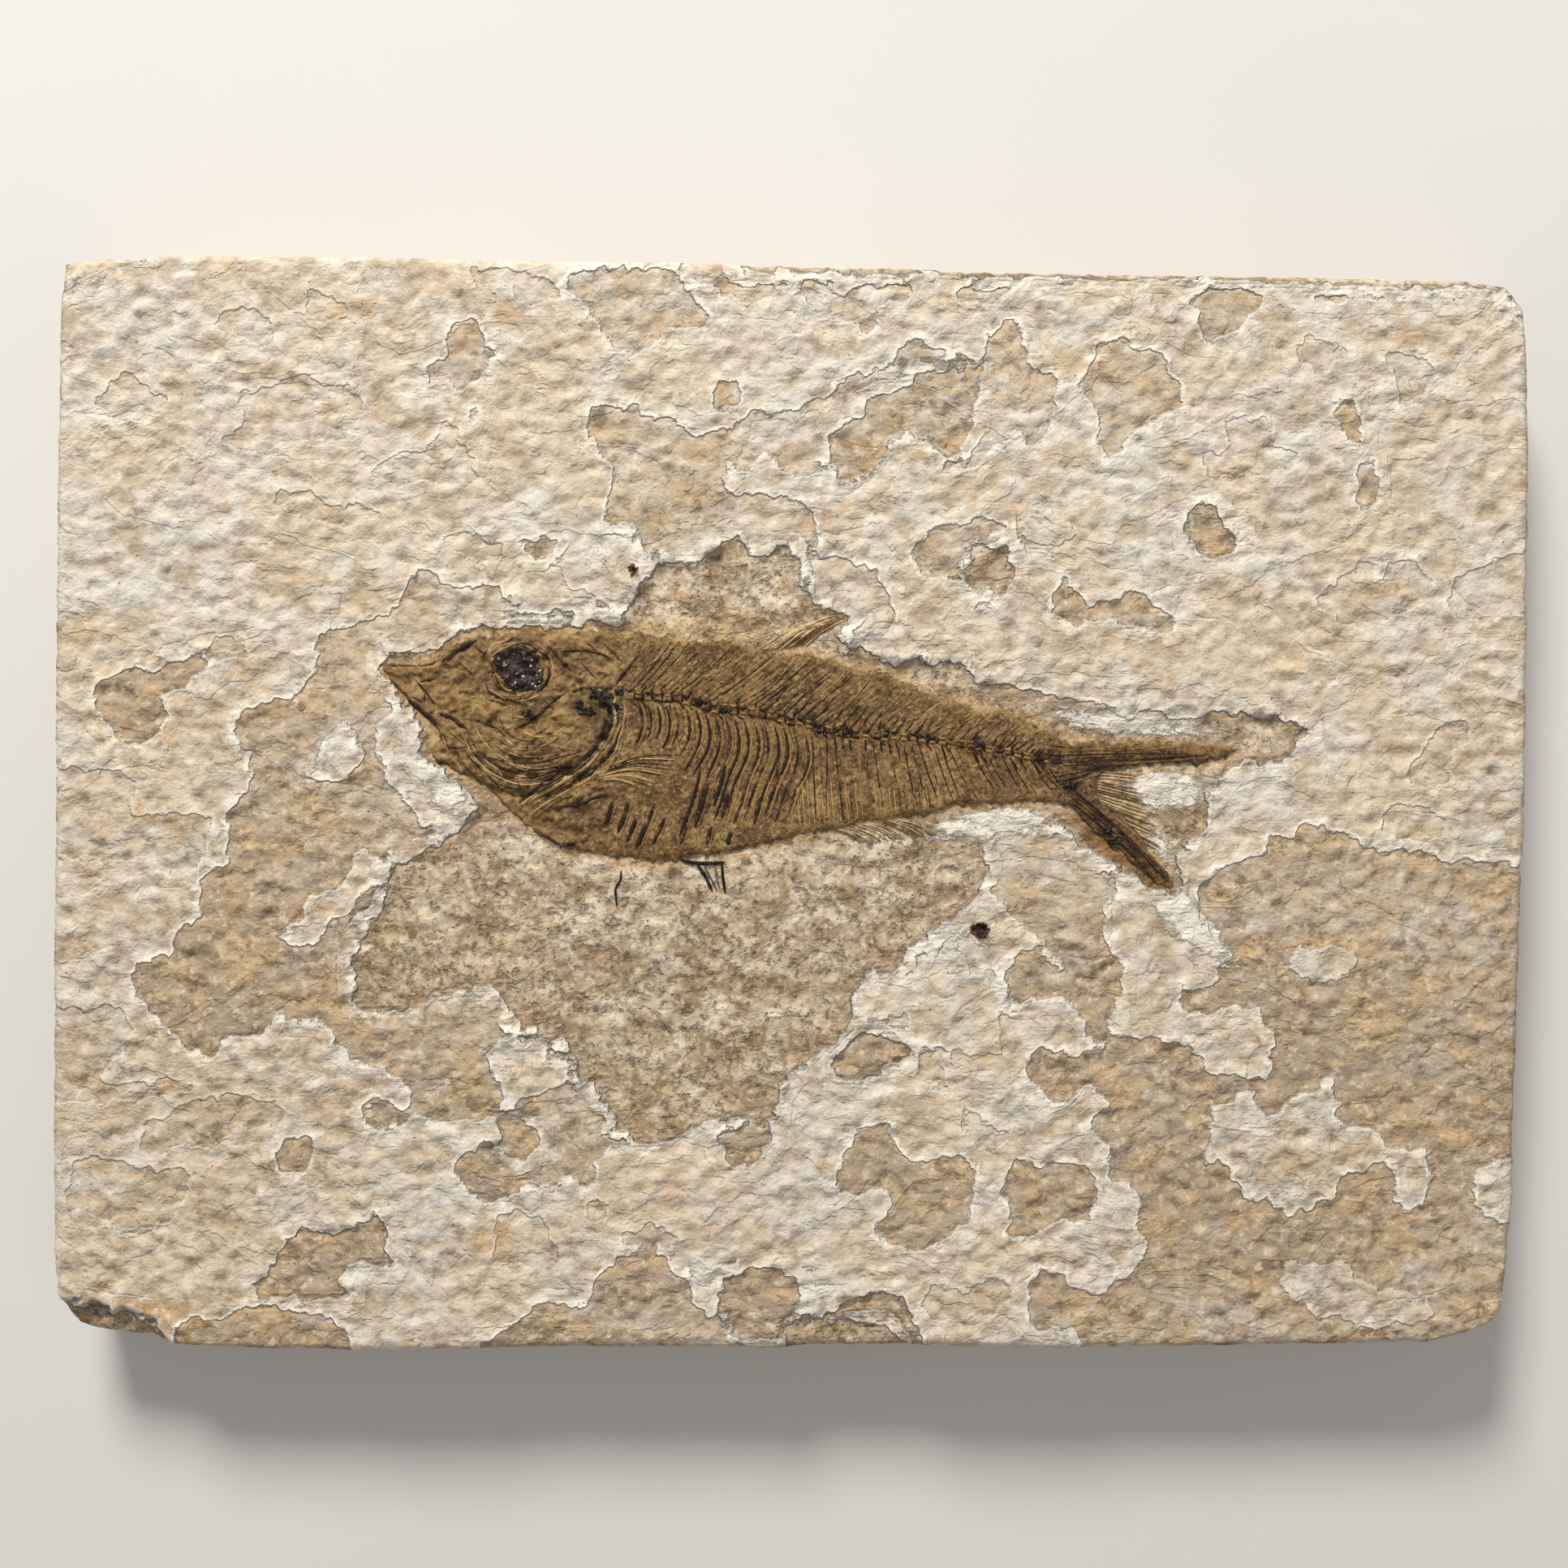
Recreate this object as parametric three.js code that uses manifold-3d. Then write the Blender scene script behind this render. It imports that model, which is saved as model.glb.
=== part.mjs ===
// A slab of split limestone with a small fossil fish lying on one of its bedding planes.
// Millimetres, +Z up. The slab lies on its flat back with the fish facing up, the head
// towards -X and the back of the fish towards +Y. The origin is the middle of the back.

import * as THREE from 'three';
import { mergeVertices } from 'three/addons/utils/BufferGeometryUtils.js';
import Module from 'manifold-3d';

const wasm = await Module();
wasm.setup();

// Heights above the flat back. The slab splits along thin sheets, and BED is the one the fish is on.
const BED = 9.0;
const LOW = 9.25;
const MID = 9.5;
const DIP = 9.625;
const FACE = 9.75;
const HIGH = 9.875;
const RIM = 8.875; // where the sheets broke back from the slab's edge
const DEEP_RIM = 8.125;
const ABOVE = 12;
const ROOT = 8; // raised flakes grow from here, well inside the stone
const SMALLEST_EDGE = 0.02; // where two outlines nearly meet, anything finer is closed up

// Thickness of the fossil's own layers.
const FILM = 0.25;
const BONE = 0.125;
const FILM_TOP = BED + FILM;

// The slab seen from above: sawn or hand-trimmed edges with worn corners.
const SLAB_OUTLINE = [
  [-62.9, 46.7], [-61.6, 47.1], [-58.5, 47.2], [-50, 47.3], [-37, 47.2], [-22, 46.9], [-5, 46.7],
  [10, 46.4], [31, 46.1], [45, 45.9], [57, 45.6], [60.4, 45.4], [61.8, 45.1], [62.7, 44.3],
  [63.3, 43], [63.6, 40], [63.75, 30], [63.6, 15], [63.4, 0], [63.1, -10], [62.8, -20],
  [62.5, -28], [62.3, -35], [61.9, -40], [61.5, -43.8], [60.7, -44.9], [59.3, -45.6],
  [57.2, -46.2], [55, -46.6], [45, -46.8], [24, -47.1], [12, -46.9], [0, -47.1], [-20, -47],
  [-36, -47.3], [-45, -47.2], [-53.5, -46.8], [-56, -46.3], [-60.5, -45.9], [-62.1, -45.3],
  [-62.6, -44.4], [-63.3, -42.8], [-63.65, -40], [-63.75, -30], [-63.7, -15], [-63.6, 0],
  [-63.5, 15], [-63.35, 30], [-63.15, 40], [-63.05, 45],
];

// Flakes and pits, in the order they are laid down. Inside its outline each one sets the
// stone's surface to its level, so a later one can sit inside an earlier one.
const SHEETS = [
  // Wide sheets one layer down.
  { level: MID, name: 'sheet north of the fish', outline: [
    [-17.8, 33.5], [-16.3, 34.3], [-13.2, 34.1], [-12.4, 33.2], [-10.5, 33.4], [-9.2, 32.2],
    [-8.3, 31.7], [-6.8, 32], [-6.1, 32.7], [-5.3, 31.8], [-3.9, 33.5], [-3, 34], [0, 33.8],
    [3, 35], [5, 36.8], [8.6, 37.6], [9.5, 39.5], [10.4, 40], [12.5, 39.2], [16.5, 38.3],
    [17.2, 40.2], [18.6, 41.8], [19.8, 41.2], [20.3, 38.2], [22.8, 37], [23.2, 35.8],
    [22.8, 33.4], [22, 31.8], [21, 30.8], [20.4, 31], [20, 32], [19.4, 32.2], [18, 31.2],
    [16.8, 30], [15.6, 28.7], [14.8, 28.8], [13.2, 29.2], [12.3, 30.2], [11.8, 31.1],
    [10, 31.5], [9, 31], [8.4, 29.7], [7.2, 28.4], [6.3, 27.1], [4.6, 27.1], [3.5, 28.7],
    [0.3, 28.2], [-0.8, 28.8], [-1.6, 30], [-2.3, 30.5], [-3.2, 29.3], [-4.4, 28.3],
    [-5.2, 30], [-5.9, 27.3], [-4.5, 26.5], [-2, 26.7], [0, 26.2], [1.7, 26], [2, 25],
    [2.2, 22], [2.2, 20.5], [1, 19], [-11.5, 19], [-12.5, 22], [-13.4, 24.3], [-15.9, 23.9],
    [-16.3, 24.4], [-15.7, 26.6], [-15.2, 28.5], [-16.2, 30.3], [-17, 31.2], [-17.6, 32.5],
  ] },
  { level: MID, name: 'sheet behind the back', outline: [
    [2.2, 20.8], [3.2, 21.2], [5.3, 21.2], [6, 20.7], [7.3, 20], [7.8, 19], [8.4, 18.9],
    [8.6, 17.5], [9, 16.2], [8.6, 15], [6.5, 14.8], [5.5, 14], [2, 14], [0, 18],
  ] },
  { level: MID, name: 'sheet round the head', outline: [
    [-40.2, 15.2], [-38.5, 14.7], [-37.2, 16], [-36, 15.8], [-34.5, 16.4], [-33.3, 18.3],
    [-32.2, 20.2], [-31, 20.4], [-29.8, 18.6], [-28.5, 18.6], [-27, 19.1], [-25.6, 18.8],
    [-24.2, 17.6], [-22.8, 16.4], [-20, 16.5], [-17.5, 16.1], [-14.5, 15.5], [-13, 5],
    [-20, -15], [-25, -16.3], [-25.6, -15.8], [-28.7, -16.2], [-29.5, -16.9], [-31, -16.4],
    [-32.2, -17.5], [-33.3, -18.1], [-35, -18.3], [-36.2, -19], [-40.2, -19.2], [-41, -18.6],
    [-42.5, -18.8], [-44.6, -18.3], [-45.1, -19.4], [-46.2, -20.1], [-48.5, -20.2],
    [-50.2, -22.2], [-52.5, -21], [-53.2, -19.9], [-54.8, -18.6], [-56.6, -16.4], [-57, -15],
    [-56.5, -14], [-53.5, -13], [-53, -10.8], [-51.5, -10.2], [-50, -9], [-51.6, -8.2],
    [-51.3, -7], [-50, -5.8], [-48, -5], [-48.5, -3.8], [-48.6, -1], [-47.2, 0.6],
    [-46.6, 2.2], [-46.7, 4], [-48.2, 6.4], [-47.8, 7.7], [-45, 8.6], [-43, 9], [-42, 10.6],
    [-40.6, 12], [-41, 13.8],
  ] },
  { level: MID, name: 'sheet below the left of the bed', outline: [
    [-40.5, -19.2], [-36.2, -19], [-35, -18.3], [-33.3, -18.1], [-31, -16.4], [-29.5, -16.9],
    [-28.7, -16.2], [-25.6, -15.8], [-24.6, -17.5], [-23.3, -19.5], [-21.7, -19.4],
    [-21.2, -20.4], [-19.4, -20.5], [-18.3, -22], [-18.2, -23.6], [-16.3, -25.1],
    [-15.3, -27.4], [-13.2, -28.8], [-13, -29.8], [-14.5, -29.6], [-15.8, -29.9],
    [-16.8, -30.6], [-17.2, -32.6], [-17.9, -33.8], [-18.6, -33], [-19, -32.2], [-20.5, -33],
    [-23.1, -33.1], [-25, -34.3], [-26.4, -34.5], [-27.4, -33.8], [-28.9, -32.3],
    [-28.3, -30.3], [-26.3, -29.3], [-25.2, -28.6], [-25.4, -27.4], [-28, -27.2],
    [-30.5, -27.7], [-32.8, -26.9], [-32.6, -25.2], [-33.4, -24], [-34.8, -23.4],
    [-35, -22.6], [-37.8, -22.3], [-38.5, -21.5],
  ] },
  { level: MID, name: 'sheet under the tail root', outline: [
    [16, -3.4], [16.6, -4.6], [16.8, -5.8], [16.4, -7.3], [17.2, -8.2], [17.9, -8.2],
    [18.4, -9.2], [19.4, -10.3], [20.3, -11.2], [21.3, -11.4], [22.2, -12.4], [23.3, -13.4],
    [23.6, -14.3], [24.3, -15], [25, -14.5], [25.8, -13.9], [27.8, -13.2], [27.5, -11.8],
    [27.1, -10.8], [27, -9.2], [27.4, -8.5], [27.9, -7.9], [27.9, -6.7], [28.3, -6.3],
    [29.5, -6.8], [29.3, -5.8], [24.6, -2], [20, -1],
  ] },
  { level: MID, name: 'hollow below the bone chip', outline: [
    [18.8, -15.2], [19, -17], [20, -17.4], [21.3, -16.8], [23.9, -17.1], [25.3, -18.4],
    [25.6, -19.7], [26.2, -20.6], [27.6, -20.2], [27.3, -19], [28.3, -16.6], [28.9, -14.3],
    [28.4, -13.3], [26.5, -13.8], [24.4, -15.1], [22.6, -14], [21.5, -12.8], [20, -12.5],
    [19.3, -13.6], [18.2, -14.6],
  ] },
  { level: MID, name: 'ochre sheet over the lower right', outline: [
    [44.3, -1.9], [46.5, -2.1], [47.6, -2.7], [49, -3.8], [51.5, -4], [55.3, -4.1],
    [57, -5.2], [60, -5], [66, -5.5], [66, -50], [25.3, -50], [24.9, -46], [24, -45],
    [22.8, -45.5], [21.5, -45.6], [20.7, -44.8], [20.4, -43.6], [20.8, -42.5], [20.9, -41],
    [21.8, -40.2], [23, -40.6], [24.5, -41.9], [26.2, -42.3], [27.8, -42], [28, -41],
    [29.2, -40.9], [30, -40], [30.8, -38], [30, -37], [30.2, -34], [29.4, -32.6],
    [28, -32.7], [27.2, -31.2], [27.7, -30], [27.5, -29], [26.5, -28.8], [25.6, -28],
    [26, -27], [27.5, -26.3], [27.3, -25.5], [26.3, -24.9], [25.3, -24.7], [23.4, -25.8],
    [22, -25.1], [20.9, -24.5], [20.4, -23.2], [21.1, -21.2], [22.2, -20.9], [24.3, -22],
    [26.3, -21.2], [27.8, -20.3], [31.3, -20.2], [33, -20.4], [35.6, -21.8], [36.2, -23.5],
    [38.8, -23.5], [41, -24], [41.7, -23], [41.5, -21.5], [41.8, -20.2], [42.6, -19.4],
    [41.4, -19.7], [40, -17.5], [38, -17.4], [36.3, -18.5], [35.2, -17.7], [34.2, -18.2],
    [33.6, -17.6], [33.9, -15.8], [35.5, -16.3], [37.2, -15.6], [37, -14], [38.5, -13.2],
    [37.5, -12.3], [36, -11], [35, -8.6], [34.6, -7.5], [35.8, -6.5], [37.2, -5.6],
    [38.2, -5], [40, -5], [40.9, -4.5], [41.2, -3], [43.5, -2.8],
  ] },

  // Whitish flakes left standing on the ochre sheet and beside the bed.
  { level: FACE, name: 'great flake', outline: [
    [35.7, -31.2], [35.9, -29.5], [36.3, -26.2], [38.3, -25.7], [38.5, -24.7], [40.2, -24.9],
    [40.2, -26.3], [40.8, -27.2], [41.9, -27.1], [43.2, -25.4], [44.7, -25], [46.9, -23.4],
    [47, -25.5], [47.6, -27.9], [50.2, -28], [51, -28.8], [51.8, -30], [53.5, -29.8],
    [54.9, -30.1], [55.4, -33.2], [55, -34.3], [52.7, -36], [52.9, -34.8], [52, -34],
    [52.2, -32.7], [51.7, -31.4], [50.5, -31], [49.7, -31.8], [48.3, -31.9], [47.3, -32.8],
    [47, -34], [45.6, -34.8], [43.2, -35.7], [42, -34.9], [41.5, -34], [40.2, -34.8],
    [39.2, -33.8], [38, -32.4], [37.8, -31.3],
  ] },
  { level: FACE, name: 'flake at the right edge', outline: [
    [59.3, -31.2], [61, -30.8], [66, -31], [66, -36.3], [61, -36.3], [59.4, -35], [58.8, -33],
  ] },
  { level: DIP, name: 'flake low on the right', outline: [
    [43.2, -39.2], [44, -39.8], [46, -39.9], [48, -39.3], [48.4, -41], [50.5, -41.8],
    [55, -42.5], [56, -44.5], [50, -45.4], [45, -44], [42, -41.5],
  ] },
  { level: DIP, name: 'flake right of the hollow', outline: [
    [43.5, -12.2], [45, -12.8], [47.5, -12.4], [49, -13.2], [48.2, -14.8], [46.9, -15.8],
    [45.6, -15.6], [44.4, -14.8], [43, -14.6],
  ] },
  { level: DIP, name: 'flake above the ochre sheet', outline: [
    [51.2, -0.8], [53, 0], [55, -0.3], [56.3, -1.2], [56.4, -2.4], [55.2, -3.6], [52.5, -3.4],
    [51, -2.2],
  ] },
  { level: HIGH, name: 'white flake over the bed corner', outline: [
    [-26, -21.2], [-25, -20.6], [-22.2, -20.6], [-21.3, -21.7], [-19, -22.9], [-19.3, -23.8],
    [-20, -24.5], [-22.8, -25.5], [-23.8, -26.4], [-24.8, -26.5], [-25.1, -24.4],
    [-25.9, -23.6],
  ] },
  { level: HIGH, name: 'white flake above the back', outline: [
    [-19.7, 20.8], [-18, 21.6], [-16.3, 21.7], [-14.4, 22.6], [-13.2, 21.8], [-12.9, 19.6],
    [-13.6, 18.3], [-14.5, 17.3], [-15.8, 17.2], [-17, 18.2], [-19, 18.2], [-19.6, 19.4],
  ] },
  { level: HIGH, name: 'shelf below the diagonal', outline: [
    [5.6, -17.6], [6.4, -16.6], [8, -15.4], [9.9, -15.2], [10.8, -14.7], [11.3, -13.7],
    [12.2, -13.1], [14.6, -13], [15.6, -14.5], [17.3, -15.4], [18.4, -16.6], [17.9, -19],
    [18.2, -21.5], [16, -22], [13, -21], [10.4, -21], [10, -18.2], [8.5, -18.6], [6.5, -18.6],
  ] },
  { level: HIGH, name: 'white flake on the lower edge', outline: [
    [-8.5, -41.8], [-7.8, -40.7], [-6.8, -40], [-5.4, -40.2], [-6.2, -42], [-6.4, -43.6],
    [-7.2, -44], [-8.1, -43.7],
  ] },
  { level: HIGH, name: 'wedge left of the jaw', outline: [
    [-42.6, 2], [-41.8, 2.6], [-40.6, 4.6], [-39.9, 6], [-38.6, 7], [-37.8, 6.6], [-37.4, 5.6],
    [-36.6, 4.4], [-37.6, 2.6], [-39.2, 1.7],
  ] },
  { level: FACE, name: 'white flake under the jaw', outline: [
    [-35.7, 7.4], [-34, 7.6], [-33, 8.6], [-32.3, 7.6], [-32, 5], [-31.3, 3.6], [-29.8, 2.7],
    [-28.2, 1.4], [-27.1, 0], [-27.3, -0.7], [-29.3, -1.6], [-31, -2.4], [-32.4, -1.2],
    [-33.6, 0.8], [-34.8, 1.2], [-35, 3], [-36.2, 4.6],
  ] },
  { level: FACE, name: 'small scale left of the bed', outline: [
    [-44.6, -11.6], [-43.4, -11], [-42, -9.4], [-41.8, -8.2], [-40, -7.6], [-38.8, -7],
    [-38, -5.6], [-37.8, -4.2], [-36.6, -4], [-35.2, -5], [-35.4, -6.4], [-37.6, -8.4],
    [-38.2, -9.6], [-40, -10.6], [-41, -12], [-42.4, -12.4],
  ] },

  // The bedding plane of the fish.
  { level: BED, name: 'bed', outline: [
    [-35.7, 11.5], [-35.6, 12.2], [-34.7, 12.8], [-33, 12.9], [-30.4, 13.2], [-30, 14],
    [-29, 14.8], [-27.5, 15.3], [-25, 15.2], [-19, 15.2], [-17, 15.5], [-14.5, 15.5],
    [-13.9, 16.6], [-13.5, 17.5], [-13, 19], [-11, 20.3], [-10, 21.2], [-9, 20.7],
    [-7.5, 21.3], [-5.6, 22.9], [-4.7, 23], [-3, 21.3], [-2, 21.5], [-0.8, 22.3],
    [0.3, 21.8], [0.8, 20.5], [0.2, 19], [1.3, 18], [1.9, 18.1], [2.7, 16.6], [5.1, 16.8],
    [4.6, 15.6], [3.8, 14.6], [4.2, 13.7], [5.2, 13.5], [6.5, 13.2], [7.9, 12.4],
    [8.8, 11.9], [10.3, 12.5], [11, 12.4], [12, 12], [14.8, 12.3], [15.6, 11.5],
    [16, 10.4], [18, 10.5], [20, 9.8], [22.3, 9.2], [23.3, 9.3], [25, 8.7], [28, 8.4],
    [28.5, 7.5], [29.2, 7.1], [30, 7.8], [31, 8.3], [32.3, 7.6], [33.3, 7.1], [34.8, 7.2],
    [36.2, 7.9], [38, 7.8], [41, 7.6], [42.5, 7.3], [44.4, 6.6], [44.2, 5.6], [43.3, 4.5],
    [42.8, 3.4], [41, 3.4], [39, 4], [37.3, 2.4], [36.1, 1.2], [36, 0.4], [36.2, -1],
    [35.6, -2.3], [34.6, -3.7], [33.1, -4.3], [33.3, -5.4], [34, -7.2], [34, -7.8],
    [32.8, -7.8], [31, -7], [29.3, -6], [28.3, -5.2], [26, -4.2], [24.6, -2.8], [23.5, -1.5],
    [20, -2], [18.5, -2.6], [16.4, -3.5], [17, -5], [16.6, -7], [16.2, -8.2], [15, -8.9],
    [13, -10.5], [11.6, -11.7], [9.9, -13], [8.8, -14.2], [7.8, -15], [7, -14.3],
    [6.1, -15.2], [5.3, -16.7], [4.9, -19.2], [3.3, -21], [1.5, -22.3], [0, -23],
    [-0.9, -25], [-1.4, -27], [-2.6, -27.2], [-4, -27.1], [-6, -27.4], [-7.5, -27.6],
    [-10, -29], [-13, -29.7], [-13.4, -29], [-14.2, -28.3], [-15.2, -28], [-14.8, -27.5],
    [-15.7, -26.2], [-16.3, -25.1], [-18.2, -23.6], [-18.3, -22], [-19.4, -20.5],
    [-21.2, -20.4], [-21.7, -19.4], [-23.3, -19.5], [-24.6, -17.5], [-25.6, -15.8],
    [-28.7, -16.2], [-29.5, -16.9], [-31, -16.4], [-32.2, -17.5], [-33.3, -18.1],
    [-37, -18.2], [-38, -17], [-37.4, -15.5], [-38, -14], [-37.5, -12], [-36, -10],
    [-34.7, -8.2], [-35, -7], [-34, -5.2], [-32, -4.4], [-29, -2.8], [-27.3, -0.7],
    [-27.1, 0], [-28.2, 1.4], [-29.8, 2.7], [-31.3, 3.6], [-32.1, 4.4], [-32.1, 6.8],
    [-32.6, 7.9], [-34.9, 10.6],
  ] },

  // Pits and scales, from the top left to the bottom right.
  { level: LOW, name: 'brown floor of the north sheet', outline: [
    [9.2, 35.5], [10, 36.3], [11.2, 37], [13, 37.2], [16.2, 37.8], [16.3, 35.8],
    [15.9, 33.5], [15, 31], [14.6, 30.1], [13.5, 30.6], [12, 32], [9, 32.3], [7.8, 30.6],
    [6.6, 28.8], [5.4, 28.2], [4.5, 28.4], [3.3, 29.6], [3.3, 31.8], [4.2, 32.7],
    [6.5, 33.4], [6.8, 35],
  ] },
  { level: DIP, name: 'oval near the left edge', outline: [
    [-60, 34.5], [-59, 36], [-57.5, 37.2], [-55, 35.6], [-53.5, 34.5], [-55, 33.3], [-57, 33],
    [-59, 33],
  ] },
  { level: DIP, name: 'wide hollow upper left', outline: [
    [-48, 35.2], [-47, 36.2], [-45.8, 35.4], [-44.2, 36.2], [-42.3, 37.2], [-40.5, 36.2],
    [-38.6, 36.1], [-37, 34.9], [-37.1, 33.2], [-38.2, 31.8], [-39.5, 31.2], [-43, 31.2],
    [-44, 30.4], [-46, 30.1], [-48, 30.6], [-49.2, 31.4], [-47, 32.5], [-47.2, 34],
  ] },
  { level: DIP, name: 'hollow left of centre', outline: [
    [-36.2, 28.5], [-35.3, 29.5], [-33.5, 30.2], [-31, 30.8], [-30.7, 31.6], [-29.1, 33.2],
    [-28.6, 32], [-28.4, 30.5], [-27.5, 29.6], [-27.1, 28], [-29, 27.6], [-32, 28],
    [-34, 27.5],
  ] },
  { level: DIP, name: 'long step upper left', outline: [
    [-44.4, 27], [-42.5, 26.8], [-41.8, 27.3], [-40.9, 26.8], [-40, 25.7], [-38.6, 25.5],
    [-37.5, 26.1], [-36, 25.9], [-35, 25], [-38, 24], [-42, 24.5], [-44.5, 26],
  ] },
  { level: DIP, name: 'cusp near the top edge', outline: [
    [-49.8, 41.3], [-48.6, 40.8], [-47, 39.9], [-46, 39.1], [-44.6, 40.2], [-45, 42],
    [-47, 43], [-49, 42.8],
  ] },
  { level: DIP, name: 'second cusp near the top edge', outline: [
    [-42, 43.2], [-41.2, 41.8], [-40, 41.3], [-39, 41.8], [-38, 43], [-40, 44], [-41.5, 44.2],
  ] },
  { level: MID, name: 'brown pit upper left', outline: [
    [-31.5, 37.3], [-30.6, 38.1], [-29.8, 38.3], [-29.7, 40], [-29, 41.5], [-27.5, 42],
    [-26.9, 41.4], [-26.8, 39.8], [-25.8, 39.3], [-26, 38], [-26.8, 37.2], [-27.5, 36.2],
    [-28.3, 35.6], [-29.5, 36.4], [-31, 36.3],
  ] },
  { level: MID, name: 'thumbnail pit', outline: [
    [-28, 34.3], [-27.6, 34.7], [-27, 34.3], [-26.9, 33.7], [-27.4, 33.4], [-27.9, 33.8],
  ] },
  { level: MID, name: 'wide pit at the top edge', outline: [
    [-18.7, 44], [-17.5, 42.8], [-16.6, 42], [-16.2, 40.5], [-15.2, 39.4], [-14.2, 38.9],
    [-13, 39], [-12.2, 39.8], [-11, 40.9], [-8.7, 41], [-7.4, 40.9], [-7.1, 42], [-7.6, 43.3],
    [-9, 44.5], [-10, 45.8], [-12, 46.3], [-17.5, 46.2], [-19.8, 45.2],
  ] },
  { level: DIP, name: 'shallow scoops at the top edge', outline: [
    [-27.8, 46], [-27.4, 45.2], [-26.4, 43.2], [-25.2, 44.8], [-24.3, 45], [-23.6, 43.6],
    [-21.5, 43.2], [-19.2, 44], [-21, 45.2], [-23, 46],
  ] },
  { level: MID, name: 'pit above the north sheet', outline: [
    [-6.7, 36.2], [-6, 36.7], [-5.2, 37], [-4.5, 36.6], [-4.3, 35.2], [-4.5, 34.2],
    [-5.2, 33.8], [-6.3, 34.2], [-6.9, 35],
  ] },
  { level: MID, name: 'pit over the neck', outline: [
    [-24, 22.2], [-22.7, 22.9], [-21, 22.9], [-20.6, 22.4], [-20.6, 21.2], [-21.8, 21.3],
  ] },
  { level: DIP, name: 'pit over the head', outline: [
    [-29.8, 22.6], [-29.4, 23.2], [-28, 23.7], [-27.3, 23.1], [-26.2, 22.9], [-25, 22.2],
    [-25.2, 21.3], [-27, 21], [-28.8, 21.8],
  ] },
  { level: MID, name: 'chip right of the top middle', outline: [
    [0.3, 43.8], [0.8, 44.8], [2.3, 45.2], [3, 44.6], [4.3, 44.2], [5.3, 44.3], [6.5, 45.4],
    [9.9, 45.7], [10.9, 45.4], [10.3, 44], [9, 43.3], [7.4, 43.1], [7.6, 42], [7.2, 41],
    [6.1, 40.3], [5.9, 41.8], [3, 41.8], [2.4, 42.2], [2.2, 43.2],
  ] },
  { level: MID, name: 'scoop at the top edge', outline: [
    [13.8, 44.1], [15, 43.2], [16.2, 42.9], [17.8, 43.3], [19, 44.1], [20.6, 45],
    [19.8, 45.6], [17.8, 45.8], [15.4, 45.3],
  ] },
  { level: MID, name: 'ear pit', outline: [
    [10.7, 21.5], [11, 22.5], [12, 23.5], [13.3, 24.3], [14.6, 24], [17.2, 24.6],
    [18.3, 24.2], [18.8, 23.3], [17.8, 22.9], [15.9, 21.6], [15.3, 19], [14.5, 19],
    [13.7, 19.5], [12.5, 19.3], [11.5, 19.9], [10.9, 20.5],
  ] },
  { level: DIP, name: 'step under the tooth pit', outline: [
    [15.2, 18.7], [18.6, 18.2], [18.1, 17.3], [16.5, 16.5], [15.7, 16.8], [15.3, 17.7],
  ] },
  { level: LOW, name: 'tooth pit', outline: [
    [16.1, 21.9], [17.2, 21.9], [18.2, 22.6], [19, 22.2], [19.2, 21], [19.1, 19.8],
    [18.8, 18.6], [18.4, 18], [17.5, 18.1], [16.9, 18.4], [15.9, 18.5], [15.5, 19.2],
    [15.8, 20.5],
  ] },
  { level: MID, name: 'saddle pit', outline: [
    [22.7, 18], [23.2, 19.6], [24, 19.3], [24.7, 18.3], [25.7, 16.6], [26.5, 17.3],
    [28.5, 17.8], [29, 18.2], [30, 18.3], [30.8, 17.7], [31.4, 16.9], [32.5, 16.4],
    [33.2, 15.6], [33, 15], [31, 14.9], [29, 15.6], [27, 16], [24.8, 15.4], [23, 16.3],
    [22.6, 17.3],
  ] },
  { level: HIGH, name: 'white scale over the saddle', outline: [
    [20.2, 23], [20.5, 24.2], [21.1, 25.1], [22.5, 25.4], [24.6, 23.8], [24, 22.5],
    [22, 22.2],
  ] },
  { level: MID, name: 'cloud pit', outline: [
    [25.1, 36.5], [25.6, 37.3], [26.2, 38.2], [26.6, 39.8], [28.8, 40.3], [29, 39.6],
    [30.5, 39.1], [32.7, 39], [32.7, 37.1], [33.8, 36.2], [33.5, 34.2], [32, 33.6],
    [31.3, 33], [29, 31.6], [28.5, 30.6], [27.5, 30.1], [26.9, 30.4], [26.2, 31.9],
    [27, 32.8], [27, 33.6], [26, 34], [25.4, 35.2],
  ] },
  { level: MID, name: 'wedge pit at the top edge', outline: [
    [34.9, 44.8], [38.2, 45.3], [40.2, 44.6], [40.7, 44], [40, 42.1], [39, 41.2],
    [38.6, 40.6], [37, 40], [36, 40], [35, 41.3], [35.8, 42.4], [34.4, 43],
  ] },
  { level: DIP, name: 'broad dip upper right', outline: [
    [43.2, 39.4], [44.2, 40.2], [45.1, 40.2], [46.8, 39.3], [48.8, 38.9], [46.9, 38.2],
    [46.6, 37.4], [45.3, 36.2], [45.2, 38], [44, 38.2],
  ] },
  { level: MID, name: 'comma pit', outline: [
    [46.6, 34], [47, 34.9], [47.7, 35], [48.5, 34.6], [49, 33.6], [49.3, 32.6],
    [49.4, 31.5], [49.2, 30.9], [48.5, 31], [47.8, 32], [47.2, 33.2],
  ] },
  { level: DIP, name: 'triangle dip upper right', outline: [
    [52.2, 34.1], [53.4, 34.2], [54.4, 34.9], [55.2, 35.9], [55.8, 36.8], [55.2, 37.9],
    [53.5, 38.8], [51.5, 39], [51, 38.1], [52.3, 37.5], [52.4, 36],
  ] },
  { level: DIP, name: 'small shelf right', outline: [
    [37.9, 33.2], [39.5, 33.2], [40.7, 33.4], [41.8, 32.1], [41.6, 31.6], [40.7, 31],
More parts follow.
